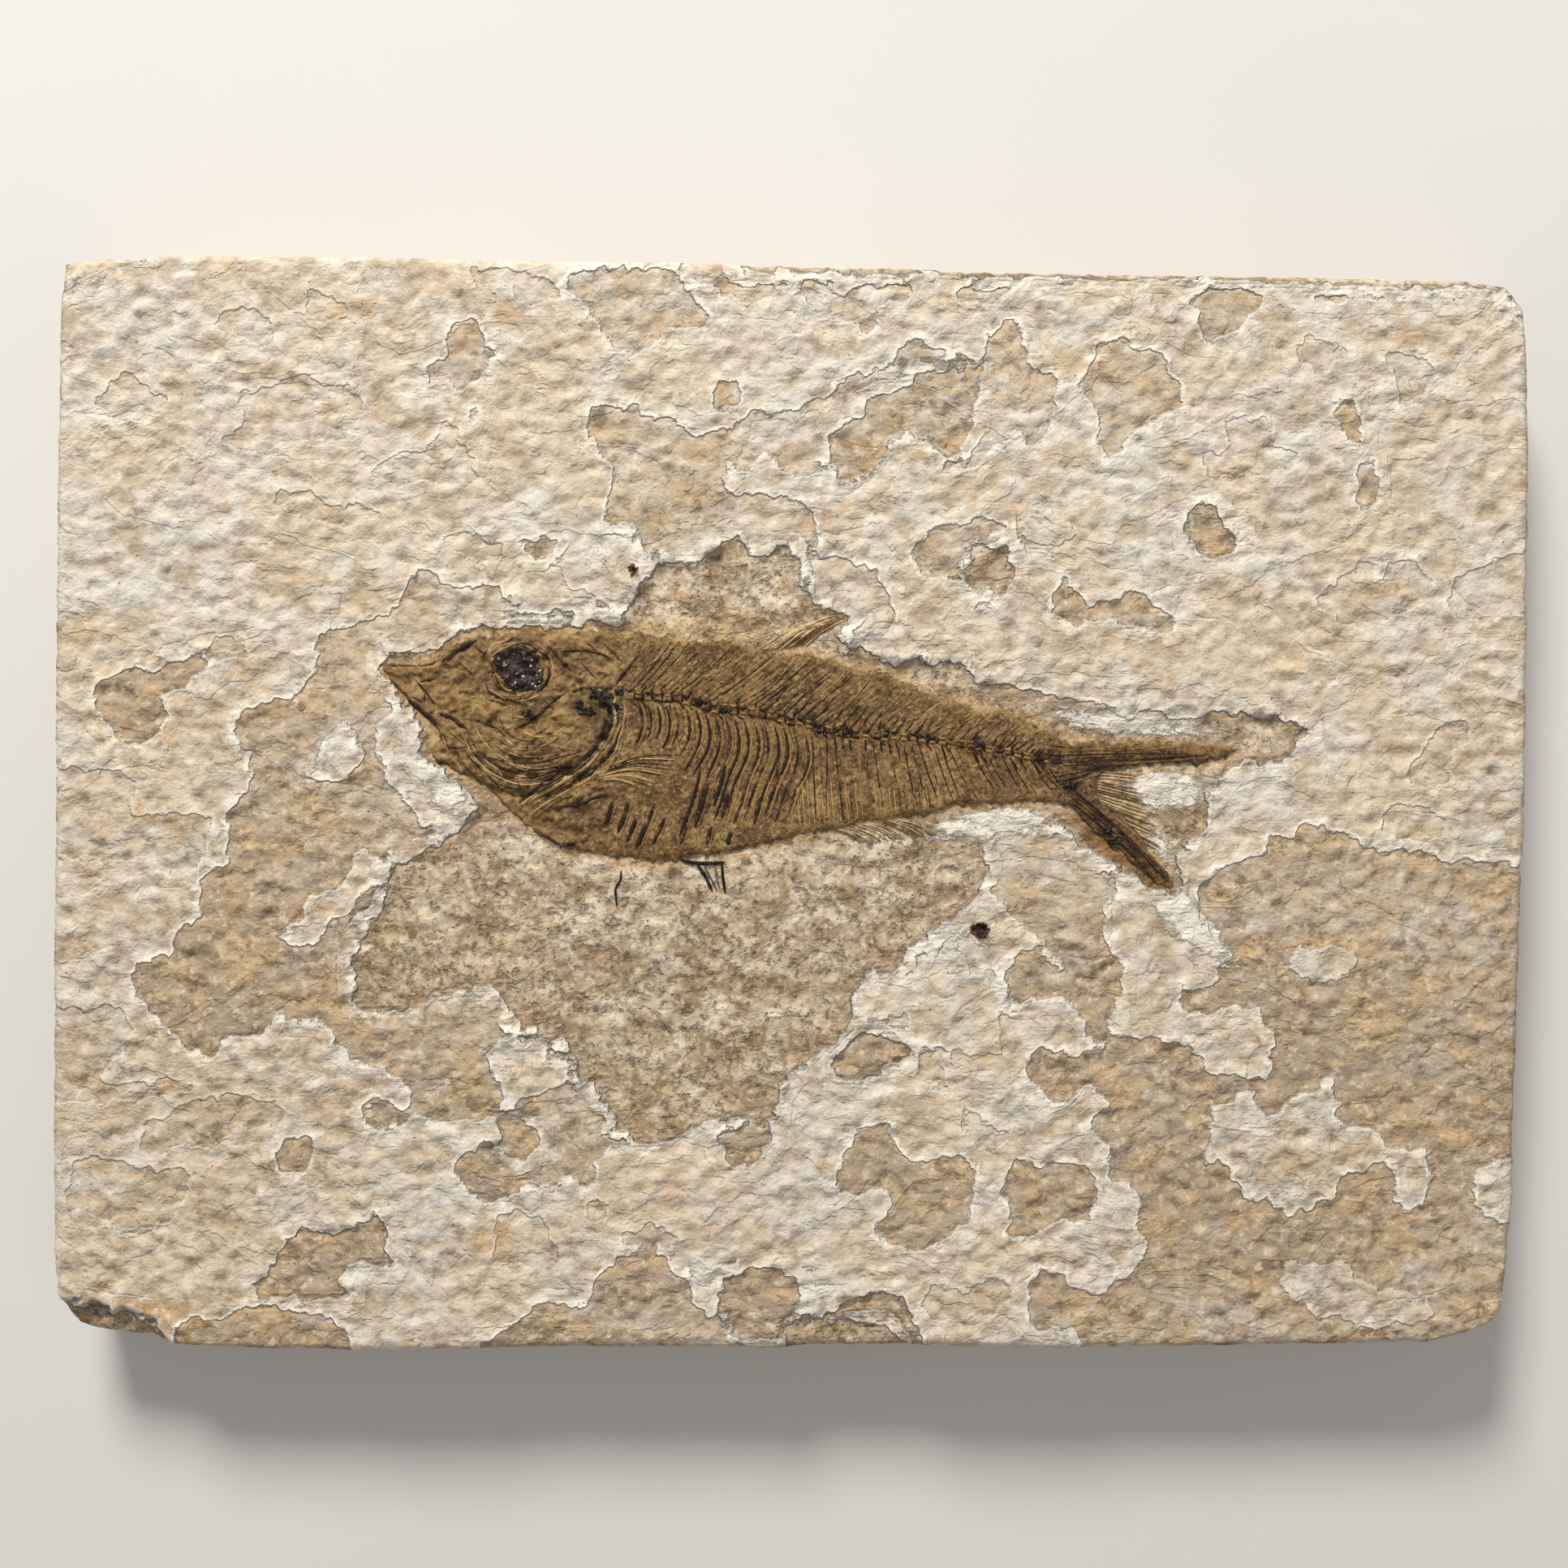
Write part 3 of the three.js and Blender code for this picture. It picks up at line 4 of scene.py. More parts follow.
import bpy
import numpy as np
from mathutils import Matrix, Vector


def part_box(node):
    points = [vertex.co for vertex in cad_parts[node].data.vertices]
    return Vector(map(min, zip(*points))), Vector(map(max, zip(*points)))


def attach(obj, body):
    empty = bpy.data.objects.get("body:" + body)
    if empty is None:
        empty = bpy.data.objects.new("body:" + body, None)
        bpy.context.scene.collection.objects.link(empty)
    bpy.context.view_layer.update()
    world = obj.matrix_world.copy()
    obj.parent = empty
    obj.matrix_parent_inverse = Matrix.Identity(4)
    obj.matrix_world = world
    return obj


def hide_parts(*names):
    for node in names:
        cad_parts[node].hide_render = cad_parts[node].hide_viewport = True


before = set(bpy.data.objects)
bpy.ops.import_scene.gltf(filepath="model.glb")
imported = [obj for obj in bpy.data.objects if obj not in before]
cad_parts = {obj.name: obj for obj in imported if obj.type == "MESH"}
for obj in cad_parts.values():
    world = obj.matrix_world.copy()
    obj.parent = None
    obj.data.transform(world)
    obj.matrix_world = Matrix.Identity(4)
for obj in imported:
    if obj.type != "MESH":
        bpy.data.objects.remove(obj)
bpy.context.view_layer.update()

# All lengths below are in millimetres unless a name says otherwise.
MM = 0.001
BED = 9.0      # the bedding plane that the fish lies on
FACE = 9.75    # the main surface of the slab
UNDERSIDE = BED - 0.3  # how far down the thin pieces reach into the stone


# ---------------------------------------------------------------- grids of numbers

def smooth(value, low, high):
    t = np.clip((value - low) / (high - low), 0, 1)
    return t * t * (3 - 2 * t)


class Grid:
    """A rectangle of the slab, seen from above, with a number at each point of a fine grid."""

    def __init__(self, x0, y0, x1, y1, pitch):
        self.x0, self.y0, self.pitch = x0, y0, pitch
        self.nx = round((x1 - x0) / pitch) + 1
        self.ny = round((y1 - y0) / pitch) + 1
        self.x, self.y = np.meshgrid(x0 + pitch * np.arange(self.nx), y0 + pitch * np.arange(self.ny))

    def spectrum(self, stretch=1.0):
        fx = np.fft.rfftfreq(self.nx, self.pitch) * stretch
        fy = np.fft.fftfreq(self.ny, self.pitch)[:, None]
        return np.hypot(fx, fy)

    def noise(self, seed, size, rough=1.0, stretch=1.0):
        """Cloudy noise of unit spread: blobs of about `size`, smoother for a larger `rough`."""
        white = np.random.default_rng(seed).standard_normal((self.ny, self.nx))
        f = self.spectrum(stretch) * size
        gain = f / (1 + f * f) ** (1 + rough / 2)
        field = np.fft.irfft2(np.fft.rfft2(white) * gain, s=(self.ny, self.nx))
        return field / field.std()

    def blur(self, field, size):
        gain = np.exp(-2 * (math.pi * self.spectrum() * size) ** 2)
        return np.fft.irfft2(np.fft.rfft2(field) * gain, s=(self.ny, self.nx))

    def sample(self, field, x, y):
        u = np.clip((x - self.x0) / self.pitch, 0, self.nx - 1.001)
        v = np.clip((y - self.y0) / self.pitch, 0, self.ny - 1.001)
        i, j = u.astype(int), v.astype(int)
        u, v = u - i, v - j
        low = field[j, i] * (1 - u) + field[j, i + 1] * u
        high = field[j + 1, i] * (1 - u) + field[j + 1, i + 1] * u
        return low * (1 - v) + high * v

    def heights(self, node, above):
        """The upward faces of a CAD node as heights, and zero where it has none."""
        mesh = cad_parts[node].data
        mesh.calc_loop_triangles()
        points = np.array([v.co for v in mesh.vertices]) / MM
        field = np.zeros((self.ny, self.nx))
        for triangle in mesh.loop_triangles:
            a, b, c = points[list(triangle.vertices)]
            if min(a[2], b[2], c[2]) < above or triangle.normal.z < 0.5:
                continue
            self.fill_triangle(field, a, b, c)
        return field

    def window(self, low, high, margin=0.0):
        """The part of the grid that covers a rectangle, as two slices."""
        first = [math.ceil((v - margin - o) / self.pitch) for v, o in zip(low, (self.x0, self.y0))]
        last = [math.floor((v + margin - o) / self.pitch) for v, o in zip(high, (self.x0, self.y0))]
        across, along = (slice(max(0, i), max(0, j + 1)) for i, j in zip(first, last))
        return along, across

    def fill_triangle(self, field, a, b, c):
        part = self.window(np.minimum(np.minimum(a, b), c)[:2], np.maximum(np.maximum(a, b), c)[:2])
        x, y = self.x[part], self.y[part]
        twice_area = (b[0] - a[0]) * (c[1] - a[1]) - (c[0] - a[0]) * (b[1] - a[1])
        if abs(twice_area) < 1e-9:
            return
        s = ((x - a[0]) * (c[1] - a[1]) - (y - a[1]) * (c[0] - a[0])) / twice_area
        t = ((y - a[1]) * (b[0] - a[0]) - (x - a[0]) * (b[1] - a[1])) / twice_area
        hit = (s >= -1e-6) & (t >= -1e-6) & (s + t <= 1 + 1e-6)
        z = a[2] + s * (b[2] - a[2]) + t * (c[2] - a[2])
        field[part] = np.where(hit, np.maximum(field[part], z), field[part])

    def blob(self, x, y, rx, ry, turn=0.0):
        """A soft spot, 1 at its middle and near 0 at its radii."""
        c, s = math.cos(math.radians(turn)), math.sin(math.radians(turn))
        u = ((self.x - x) * c + (self.y - y) * s) / rx
        v = ((self.y - y) * c - (self.x - x) * s) / ry
        return np.exp(-1.6 * (u * u + v * v))

    def spots(self, *spots):
        """The sum of soft spots, each given as its strength and then as blob takes it."""
        return sum(strength * self.blob(*spot) for strength, *spot in spots)

    def stroke(self, field, line, width, strength):
        """Draws a soft line into the field: `strength` at its middle, tapering at both ends."""
        line = np.asarray(line, float)
        lengths = np.hypot(*np.diff(line, axis=0).T)
        total, done = lengths.sum(), 0.0
        for a, b, length in zip(line[:-1], line[1:], lengths):
            part = self.window(np.minimum(a, b), np.maximum(a, b), 3 * width + self.pitch)
            x, y = self.x[part] - a[0], self.y[part] - a[1]
            dx, dy = b - a
            along = np.clip((x * dx + y * dy) / max(length, 1e-6) ** 2, 0, 1)
            gap = np.hypot(x - along * dx, y - along * dy)
            place = (done + along * length) / total
            taper = np.sqrt(np.clip(4 * place * (1 - place), 0.05, 1))
            ink = strength * taper * np.exp(-(gap / (width * taper)) ** 2)
            field[part] = np.where(abs(ink) > abs(field[part]), ink, field[part])
            done += length


# ---------------------------------------------------------------- meshes

def add_piece(name, points, faces, material, replaced, attributes):
    mesh = bpy.data.meshes.new(name)
    mesh.from_pydata((np.asarray(points) * MM).tolist(), [], faces)
    mesh.polygons.foreach_set("use_smooth", [True] * len(mesh.polygons))
    for key, values in attributes.items():
        layer = mesh.attributes.new(key, "FLOAT", "POINT")
        layer.data.foreach_set("value", np.asarray(values, np.float32))
    mesh.update()
    mesh.materials.append(material)
    piece = bpy.data.objects.new(name, mesh)
    bpy.context.scene.collection.objects.link(piece)
    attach(piece, "root")
    if replaced:
        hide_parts(*replaced)
    return piece


def relief_piece(name, grid, cells, top, material, replaced, fields):
    """A closed piece over some cells of a grid: its top follows `top`, its base is in the stone."""
    used = np.zeros(top.shape, bool)
    for dj in (0, 1):
        for di in (0, 1):
            used[dj:dj + cells.shape[0], di:di + cells.shape[1]] |= cells
    count = int(used.sum())
    index = np.full(top.shape, -1)
    index[used] = np.arange(count)
    upper = np.column_stack([grid.x[used], grid.y[used], top[used]])
    lower = np.column_stack([grid.x[used], grid.y[used], np.full(count, UNDERSIDE)])
    j, i = np.nonzero(cells)
    faces = np.column_stack([index[j, i], index[j, i + 1], index[j + 1, i + 1], index[j + 1, i]])
    edges = np.concatenate([faces[:, [k, (k + 1) % 4]] for k in range(4)])
    codes = edges[:, 0] * count + edges[:, 1]
    rim = edges[~np.isin(codes, edges[:, 1] * count + edges[:, 0])]
    walls = np.column_stack([rim[:, 1], rim[:, 0], rim[:, 0] + count, rim[:, 1] + count])
    all_faces = np.concatenate([faces, faces[:, ::-1] + count, walls]).tolist()
    attributes = {key: np.tile(field[used], 2) for key, field in fields.items()}
    return add_piece(name, np.concatenate([upper, lower]), all_faces, material, replaced, attributes)


def cells_of(mask):
    """The grid cells whose four corners are all inside the mask."""
    return mask[:-1, :-1] & mask[1:, :-1] & mask[:-1, 1:] & mask[1:, 1:]


def neighbours(field):
    """The field moved one step each way: up, down, right and left."""
    return [np.roll(field, shift, axis) for shift, axis in ((1, 0), (-1, 0), (1, 1), (-1, 1))]


def grow(mask, rounds):
    for _ in range(rounds):
        mask = np.logical_or.reduce([mask] + neighbours(mask))
    return mask


def smooth_line(line, step=0.25):
    """A curve through the points of a line, as evenly spaced points about `step` apart."""
    p = np.asarray(line, float)
    p = np.concatenate([[2 * p[0] - p[1]], p, [2 * p[-1] - p[-2]]])
    out = []
    for k in range(1, len(p) - 2):
        a, b, c, d = p[k - 1:k + 3]
        n = max(2, int(np.hypot(*(c - b)) / step))
        for t in np.arange(n) / n:
            out.append(0.5 * (2 * b + (c - a) * t + (2 * a - 5 * b + 4 * c - d) * t * t
                              + (3 * b - a - 3 * c + d) * t ** 3))
    out.append(p[-2])
    return np.array(out)


def bone_mesh(lines, height_at, step=0.22):
    """Tapered, rounded bones along lines. Each line is (points, half width, rise, shade)."""
    arch = [(-1.0, -0.8), (-0.75, 0.45), (0.0, 1.0), (0.75, 0.45), (1.0, -0.8)]
    n = len(arch)
    points, faces, shades = [], [], []
    for line, half, rise, shade in lines:
        path = smooth_line(line, step)
        ahead = np.gradient(path, axis=0)
        ahead /= np.hypot(*ahead.T)[:, None] + 1e-9
        place = np.linspace(0, 1, len(path))
        taper = np.clip(np.sqrt(4 * place * (1 - place)) * 1.25, 0.2, 1)
        base = height_at(path[:, 0], path[:, 1])
        first = len(points)
        for (x, y), (dx, dy), t, z in zip(path, ahead, taper, base):
            for across, up in arch:
                offset = across * half * t
                points.append((x - dy * offset, y + dx * offset, z + up * rise * t))
                shades.append(shade)
        for k in range(len(path) - 1):
            for m in range(n):
                a, b = first + k * n + m, first + k * n + (m + 1) % n
                faces.append((a, a + n, b + n, b))
        faces.append(tuple(first + m for m in range(n)))
        faces.append(tuple(first + (len(path) - 1) * n + m for m in reversed(range(n))))
    return points, faces, shades


# ---------------------------------------------------------------- materials

def colour(r, g, b):
    """A display colour, each part from 11 to 255, as the linear numbers that a shader takes."""
    return tuple(((part / 255 + 0.055) / 1.055) ** 2.4 for part in (r, g, b)) + (1,)


class Shader:
    """A material's nodes, made a line at a time. Textures are laid out in millimetres."""

    def __init__(self, name, roughness, specular=0.3):
        self.material = bpy.data.materials.new(name)
        self.material.use_nodes = True
        self.tree = self.material.node_tree
        self.surface = self.tree.nodes["Principled BSDF"]
        self.surface.inputs["Roughness"].default_value = roughness
        self.surface.inputs["Specular IOR Level"].default_value = specular
        place = self.tree.nodes.new("ShaderNodeTexCoord")
        scale = self.tree.nodes.new("ShaderNodeVectorMath")
        scale.operation = "SCALE"
        scale.inputs["Scale"].default_value = 1 / MM
        self.link(place.outputs["Object"], scale.inputs[0])
        self.place = scale.outputs[0]

    def link(self, value, socket):
        if isinstance(value, (int, float, tuple)):
            socket.default_value = value
        else:
            self.tree.links.new(value, socket)

    def attribute(self, name):
        node = self.tree.nodes.new("ShaderNodeAttribute")
        node.attribute_name = name
        return node.outputs["Fac"]

    def texture(self, kind, size, stretch, shift):
        """A texture node with cells of about `size`, over a stretched and shifted place."""
        mapping = self.tree.nodes.new("ShaderNodeMapping")
        mapping.inputs["Scale"].default_value = stretch
        mapping.inputs["Location"].default_value = shift
        self.link(self.place, mapping.inputs["Vector"])
        node = self.tree.nodes.new(kind)
        node.inputs["Scale"].default_value = 1 / size
        self.link(mapping.outputs["Vector"], node.inputs["Vector"])
        return node

    def noise(self, size, detail=4.0, rough=0.55, distort=0.0, stretch=(1, 1, 1), shift=0.0):
        node = self.texture("ShaderNodeTexNoise", size, stretch, (shift, shift * 0.7, shift * 0.3))
        node.inputs["Detail"].default_value = detail
        node.inputs["Roughness"].default_value = rough
        node.inputs["Distortion"].default_value = distort
        return node.outputs["Fac"]

    def cells(self, size, shift):
        """Cells: how far a point is from its cell's middle, and three random numbers of the cell."""
        node = self.texture("ShaderNodeTexVoronoi", size, (1, 1, 1), (shift, shift, 0))
        numbers = self.tree.nodes.new("ShaderNodeSeparateColor")
        self.link(node.outputs["Color"], numbers.inputs["Color"])
        return node.outputs["Distance"], numbers.outputs

    def math(self, operation, a, b=0.0, c=0.0):
        node = self.tree.nodes.new("ShaderNodeMath")
        node.operation = operation
        for value, socket in zip((a, b, c), node.inputs):
            self.link(value, socket)
        return node.outputs[0]

    def ramp(self, value, low, high, to_low=0.0, to_high=1.0):
        node = self.tree.nodes.new("ShaderNodeMapRange")
        node.interpolation_type = "SMOOTHSTEP"
        self.link(value, node.inputs["Value"])
        for key, number in (("From Min", low), ("From Max", high), ("To Min", to_low), ("To Max", to_high)):
            self.link(number, node.inputs[key])
        return node.outputs["Result"]

    def mix(self, amount, a, b):
        node = self.tree.nodes.new("ShaderNodeMix")
        node.data_type = "RGBA"
        self.link(amount, node.inputs["Factor"])
        self.link(a, node.inputs[6])
        self.link(b, node.inputs[7])
        return node.outputs[2]

    def coats(self, base, *coats):
        """The base colour under coats of (amount, colour), each over the last."""
        for amount, tint in coats:
            base = self.mix(amount, base, colour(*tint))
        return base

    def terraces(self, value, steps, edge):
        """The value cut into flat steps with narrow slopes between them."""
        scaled = self.math("MULTIPLY", value, steps)
        floor = self.math("FLOOR", scaled)
        part = self.math("SUBTRACT", scaled, floor)
        slope = self.ramp(part, 1 - edge, 1.0)
        return self.math("DIVIDE", self.math("ADD", floor, slope), steps)

    def around_zero(self, noise, spread):
        return self.math("MULTIPLY", self.math("SUBTRACT", noise, 0.5), spread)

    def chain(self, operation, values):
        result = values[0]
        for value in values[1:]:
            result = self.math(operation, result, value)
        return result

    def total(self, *values):
        return self.chain("ADD", values)

    def product(self, *values):
        return self.chain("MULTIPLY", values)

    def finish(self, base, height=None, depth=1.0):
        """The material with its base colour, and with bumps `depth` millimetres high."""
        self.link(base, self.surface.inputs["Base Color"])
        if height is not None:
            bump = self.tree.nodes.new("ShaderNodeBump")
            bump.inputs["Distance"].default_value = depth * MM
            self.link(height, bump.inputs["Height"])
            self.link(bump.outputs["Normal"], self.surface.inputs["Normal"])
        return self.material


def stone_material():
    s = Shader("split_limestone", 0.85, 0.2)
    level, lower, rise, across = map(s.attribute, ("level", "lower", "rise", "across"))
    floors, brown, ochre, white = map(s.attribute, ("floors", "brown", "ochre", "white"))
    grainy, hollow_shade, side, stain = map(s.attribute, ("grainy", "hollow_shade", "side", "stain"))

    broad = s.noise(9.0, 4, 0.55, 0.4)
    cloud = s.noise(3.4, 5, 0.6, 0.5, (0.8, 1.1, 1), 37)
    dapple = s.noise(1.2, 5, 0.66, 0.3, (0.8, 1.1, 1), 11)
    fine = s.noise(0.4, 3, 0.7, 0.2, shift=23)
    sandy = s.noise(0.9, 4, 0.7, 0.2, shift=29)
    crinkle = s.noise(1.0, 5, 0.65, 1.2, (0.65, 1.4, 1), 61)

    # Each sheet ends in one crisp, torn edge above the next.
    torn = s.total(across, s.around_zero(s.noise(0.9, 4, 0.6, shift=3), 1.1))
    sheets = s.total(lower, s.product(rise, s.ramp(torn, 0.38, 0.62)))
    wall = s.math("SUBTRACT", sheets, level)
    # A pale lip along the top of each wall: the fresh broken edge's own paler colour, partly a painted
    # highlight.
    pale_lip_and_highlight = s.product(s.ramp(torn, 0.4, 0.55), s.ramp(torn, 1.05, 0.7), s.ramp(rise, 0.05, 0.2))
    deep = s.ramp(s.math("SUBTRACT", FACE, sheets), 0.05, 0.3)

    face = s.mix(s.ramp(broad, 0.38, 0.62), colour(224, 208, 183), colour(226, 219, 206))
    # The darker tan coat leans into the hollows of the face's swells: painted shade.
    cloudy = s.total(cloud, s.product(hollow_shade, 0.16))
    warm = s.noise(5.0, 4, 0.6, 0.5, shift=91)
    face = s.coats(face, (s.ramp(cloudy, 0.5, 0.74, 0.0, 0.75), (190, 170, 142)),
                   (s.ramp(dapple, 0.52, 0.66, 0.0, 0.5), (160, 144, 126)),
                   (s.ramp(dapple, 0.48, 0.3, 0.0, 0.6), (243, 237, 225)),
                   (s.ramp(warm, 0.56, 0.72, 0.0, 0.5), (206, 168, 118)))

    # The floors of the pits are browner, in patches.
    golden = s.ramp(s.total(cloud, s.around_zero(dapple, 0.8)), 0.38, 0.68)
    floor = s.mix(golden, colour(172, 153, 130), colour(206, 176, 134))
    floor = s.coats(floor, (s.ramp(dapple, 0.5, 0.63, 0.0, 0.75), (118, 103, 88)),
                    (s.ramp(sandy, 0.49, 0.34, 0.0, 0.75), (230, 212, 182)))
    patchy = s.total(s.around_zero(dapple, 0.9), s.around_zero(cloud, 0.7))
    # More of the floor colour shows in deep floors, and more still in small pits and towards the slab's lower
    # end, where it is partly painted shade.
    brownness = s.total(s.product(floors, deep), brown, patchy)
    base = s.mix(s.ramp(brownness, 0.1, 0.95, 0.0, 0.92), face, floor)
    gold = s.total(ochre, s.around_zero(dapple, 0.9), s.around_zero(cloud, 0.5))

    # The bedding plane is granular: dark and pale grains, and pits a little wider than they are.
    _, grain = s.cells(0.35, 17)
    dark_grain = s.product(grainy, s.ramp(grain[1], 0.5, 1.0, 0.0, 0.5))
    pale_grain = s.product(grainy, s.ramp(grain[2], 0.6, 1.0, 0.0, 0.4))
    pitted = s.product(grainy, s.ramp(sandy, 0.52, 0.72, 0.0, 0.5))
    whiteness = s.total(white, s.around_zero(crinkle, 1.3), s.around_zero(dapple, 0.8))
    white_amount = s.ramp(whiteness, 0.36, 0.58, 0.0, 0.95)
    stained = s.total(stain, s.around_zero(dapple, 0.7), s.around_zero(sandy, 0.5))
    # The broken sides show the edges of the sheets as close bands.
    strata = s.noise(1.0, 5, 0.6, 0.0, (0.1, 0.1, 2.2), 47)
    # Black specks lie here and there, and more often on the bedding plane.
    to_speck, speck = s.cells(0.5, 5)
    chosen = s.math("LESS_THAN", speck[0], s.total(s.product(grainy, 0.1), 0.012))

    base = s.coats(base, (s.ramp(gold, 0.15, 0.85, 0.0, 0.8), (206, 164, 104)),
                   (s.product(grainy, 0.35), (214, 190, 156)),
                   (s.product(grainy, s.ramp(cloud, 0.48, 0.62, 0.0, 0.8)), (154, 130, 100)),
                   (s.product(grainy, s.ramp(cloud, 0.48, 0.34, 0.0, 0.7)), (238, 223, 196)),
                   (dark_grain, (146, 122, 94)), (pale_grain, (240, 222, 190)),
                   (pitted, (126, 106, 84)), (s.ramp(fine, 0.48, 0.8, 0.0, 0.3), (136, 116, 94)),
                   # the pale lip: fresh edge colour, partly a painted highlight
                   (white_amount, (253, 246, 230)), (s.product(pale_lip_and_highlight, 0.75), (250, 243, 228)),
                   (s.ramp(stained, 0.25, 0.9, 0.0, 0.85), (138, 104, 64)),
                   (s.product(side, s.ramp(strata, 0.48, 0.62, 0.0, 0.5)), (160, 136, 106)),
                   (s.product(side, s.ramp(strata, 0.46, 0.34, 0.0, 0.6)), (236, 226, 206)),
                   (s.product(s.ramp(to_speck, 0.2, 0.12), chosen, 0.85), (58, 45, 36)))

    # Loose laminae and flakes end in low steps anywhere on the face.
    laminae = s.terraces(s.noise(7.5, 5, 0.55, 0.6, (0.8, 1.15, 1), 71), 6, 0.16)
    flakes = s.terraces(s.noise(3.0, 5, 0.6, 0.9, (0.8, 1.15, 1), 53), 5, 0.2)
    waves = s.noise(1.5, 4, 0.45, 0.3, (0.95, 1.05, 1), 83)
    parts = ((wall, 1.5), (laminae, 0.45), (flakes, 0.1), (waves, 0.34), (fine, 0.12), (side, strata, 0.8),
             (white_amount, crinkle, 0.4), (dark_grain, -0.14), (pitted, -0.5))
    return s.finish(base, s.total(*(s.product(*part) for part in parts)))


def film_material():
    s = Shader("fish_film", 0.6, 0.35)
    ink, pale, head = map(s.attribute, ("ink", "pale", "head"))
    grain = s.noise(0.34, 7, 0.7, 0.3)
    blotch = s.noise(0.9, 6, 0.66, 0.5, shift=4)
    cloud = s.noise(2.6, 6, 0.6, 0.6, shift=9)
    contrast = s.math("MULTIPLY_ADD", head, -0.35, 1.0)
    base = s.mix(s.ramp(cloud, 0.36, 0.66), colour(122, 91, 53), colour(172, 138, 90))
    base = s.coats(base, (s.product(contrast, s.ramp(blotch, 0.5, 0.32, 0.0, 0.7)), (66, 46, 27)),
                   (s.product(contrast, s.ramp(blotch, 0.52, 0.7, 0.0, 0.6)), (198, 166, 112)),
                   (s.product(contrast, s.ramp(grain, 0.5, 0.34, 0.0, 0.75)), (58, 40, 25)),
                   (s.product(contrast, s.ramp(grain, 0.53, 0.68, 0.0, 0.75)), (226, 194, 140)),
                   (s.product(pale, s.ramp(grain, 0.3, 0.6, 0.4, 0.9)), (200, 164, 108)),
                   (s.product(ink, s.ramp(grain, 0.75, 0.35, 0.5, 1.0)), (42, 30, 21)))
    return s.finish(base, s.product(contrast, s.total(grain, s.product(blotch, 0.8))), 0.24)


def bone_material(name, dark, worn, roughness):
    """Bone that is `dark` where the attribute `shade` is 0 and `worn` where it is 1."""
    s = Shader(name, roughness, 0.22)
    grain = s.noise(0.3, 7, 0.68, 0.3)
    worn_patches = s.noise(1.3, 5, 0.6, 0.4, shift=13)
    mixed = s.total(s.attribute("shade"), s.around_zero(grain, 1.4), s.around_zero(worn_patches, 1.8))
    return s.finish(s.mix(s.ramp(mixed, 0.05, 0.95), colour(*dark), colour(*worn)), grain, 0.08)


def floor_material():
    s = Shader("studio_floor", 0.75, 0.2)
    mottle = s.noise(40.0, 3, 0.5)
    return s.finish(s.mix(mottle, colour(226, 224, 220), colour(232, 230, 227)))


# ---------------------------------------------------------------- the slab

FILM_NODES = ("skull", "body_film", "shoulder_girdle", "tail_fin_upper", "tail_fin_lower")
slab_low, slab_high = (np.array(v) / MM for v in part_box("limestone_slab"))
stone = Grid(slab_low[0] - 1, slab_low[1] - 1, slab_high[0] + 1, slab_high[1] + 1, 0.125)


def spread_outwards(field, rounds):
    """Fills the empty margin round a shape with the values at its edge."""
    for _ in range(rounds):
        for moved in neighbours(field):
            field = np.where(field > 0, field, moved)
    return field


def widest(field, choose, rounds):
    """The lowest or highest value within a few grid steps, by np.minimum or np.maximum."""
    for _ in range(rounds):
        for shift, axis in ((1, 0), (-1, 0), (1, 1), (-1, 1)):
            field = choose(field, np.roll(field, shift, axis))
    return field


def slab_outline():
    """The corners of the slab's flat back, in order round it."""
    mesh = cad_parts["limestone_slab"].data
    points = np.array([v.co for v in mesh.vertices]) / MM
    rim = np.unique(np.round(points[points[:, 2] < 1e-3][:, :2], 4), axis=0)
    return rim[np.argsort(np.arctan2(rim[:, 1] / slab_high[1], rim[:, 0] / slab_high[0]))]


def even_points(line, count):
    along = np.concatenate([[0], np.cumsum(np.hypot(*np.diff(line, axis=0).T))])
    wanted = np.linspace(0, along[-1], count)
    return np.column_stack([np.interp(wanted, along, line[:, k]) for k in (0, 1)])


def sheet_of_points(columns, rows):
    """Points that fill the slab's outline evenly, in rows and columns, with no step at its rim."""
    rim = slab_outline()
    corners = [int(np.argmax(rim @ np.array(d))) for d in ((-1, -1), (1, -1), (1, 1), (-1, 1))]
    sides = [rim[a:b + 1] if a < b else np.concatenate([rim[a:], rim[:b + 1]])
             for a, b in zip(corners, corners[1:] + corners[:1])]
    south, east = even_points(sides[0], columns), even_points(sides[1], rows)
    north, west = even_points(sides[2], columns)[::-1], even_points(sides[3], rows)[::-1]
    u = np.linspace(0, 1, columns)[None, :, None]
    v = np.linspace(0, 1, rows)[:, None, None]
    across = (1 - u) * west[:, None] + u * east[:, None]
    along = (1 - v) * south[None] + v * north[None]
    ends = (1 - v) * ((1 - u) * south[0] + u * south[-1]) + v * ((1 - u) * north[0] + u * north[-1])
    return across + along - ends


layers = spread_outwards(stone.heights("limestone_slab", 6.0), 14)
torn_x = 0.25 * stone.noise(1, 2.6, 0.4) + 0.12 * stone.noise(11, 0.9, 0.6)
torn_y = 0.25 * stone.noise(2, 2.6, 0.4) + 0.12 * stone.noise(12, 0.9, 0.6)
layers = stone.sample(layers, stone.x + torn_x, stone.y + torn_y)
lower, upper = widest(layers, np.minimum, 5), widest(layers, np.maximum, 5)
lower, upper = stone.blur(lower, 0.2), stone.blur(upper, 0.2)
layers = stone.blur(layers, 0.2)
rise = np.maximum(upper - lower, 0.02)
across = np.clip((layers - lower) / rise, 0, 1)
# Above the tail the sheets step down gently, as thin white flakes, instead of in one wall.
gentle = np.clip(1.6 * stone.blob(29, 6.8, 17, 2.6, -8), 0, 1)
layers += gentle * (stone.blur(layers, 0.8) - layers)
rise *= 1 - 0.7 * gentle

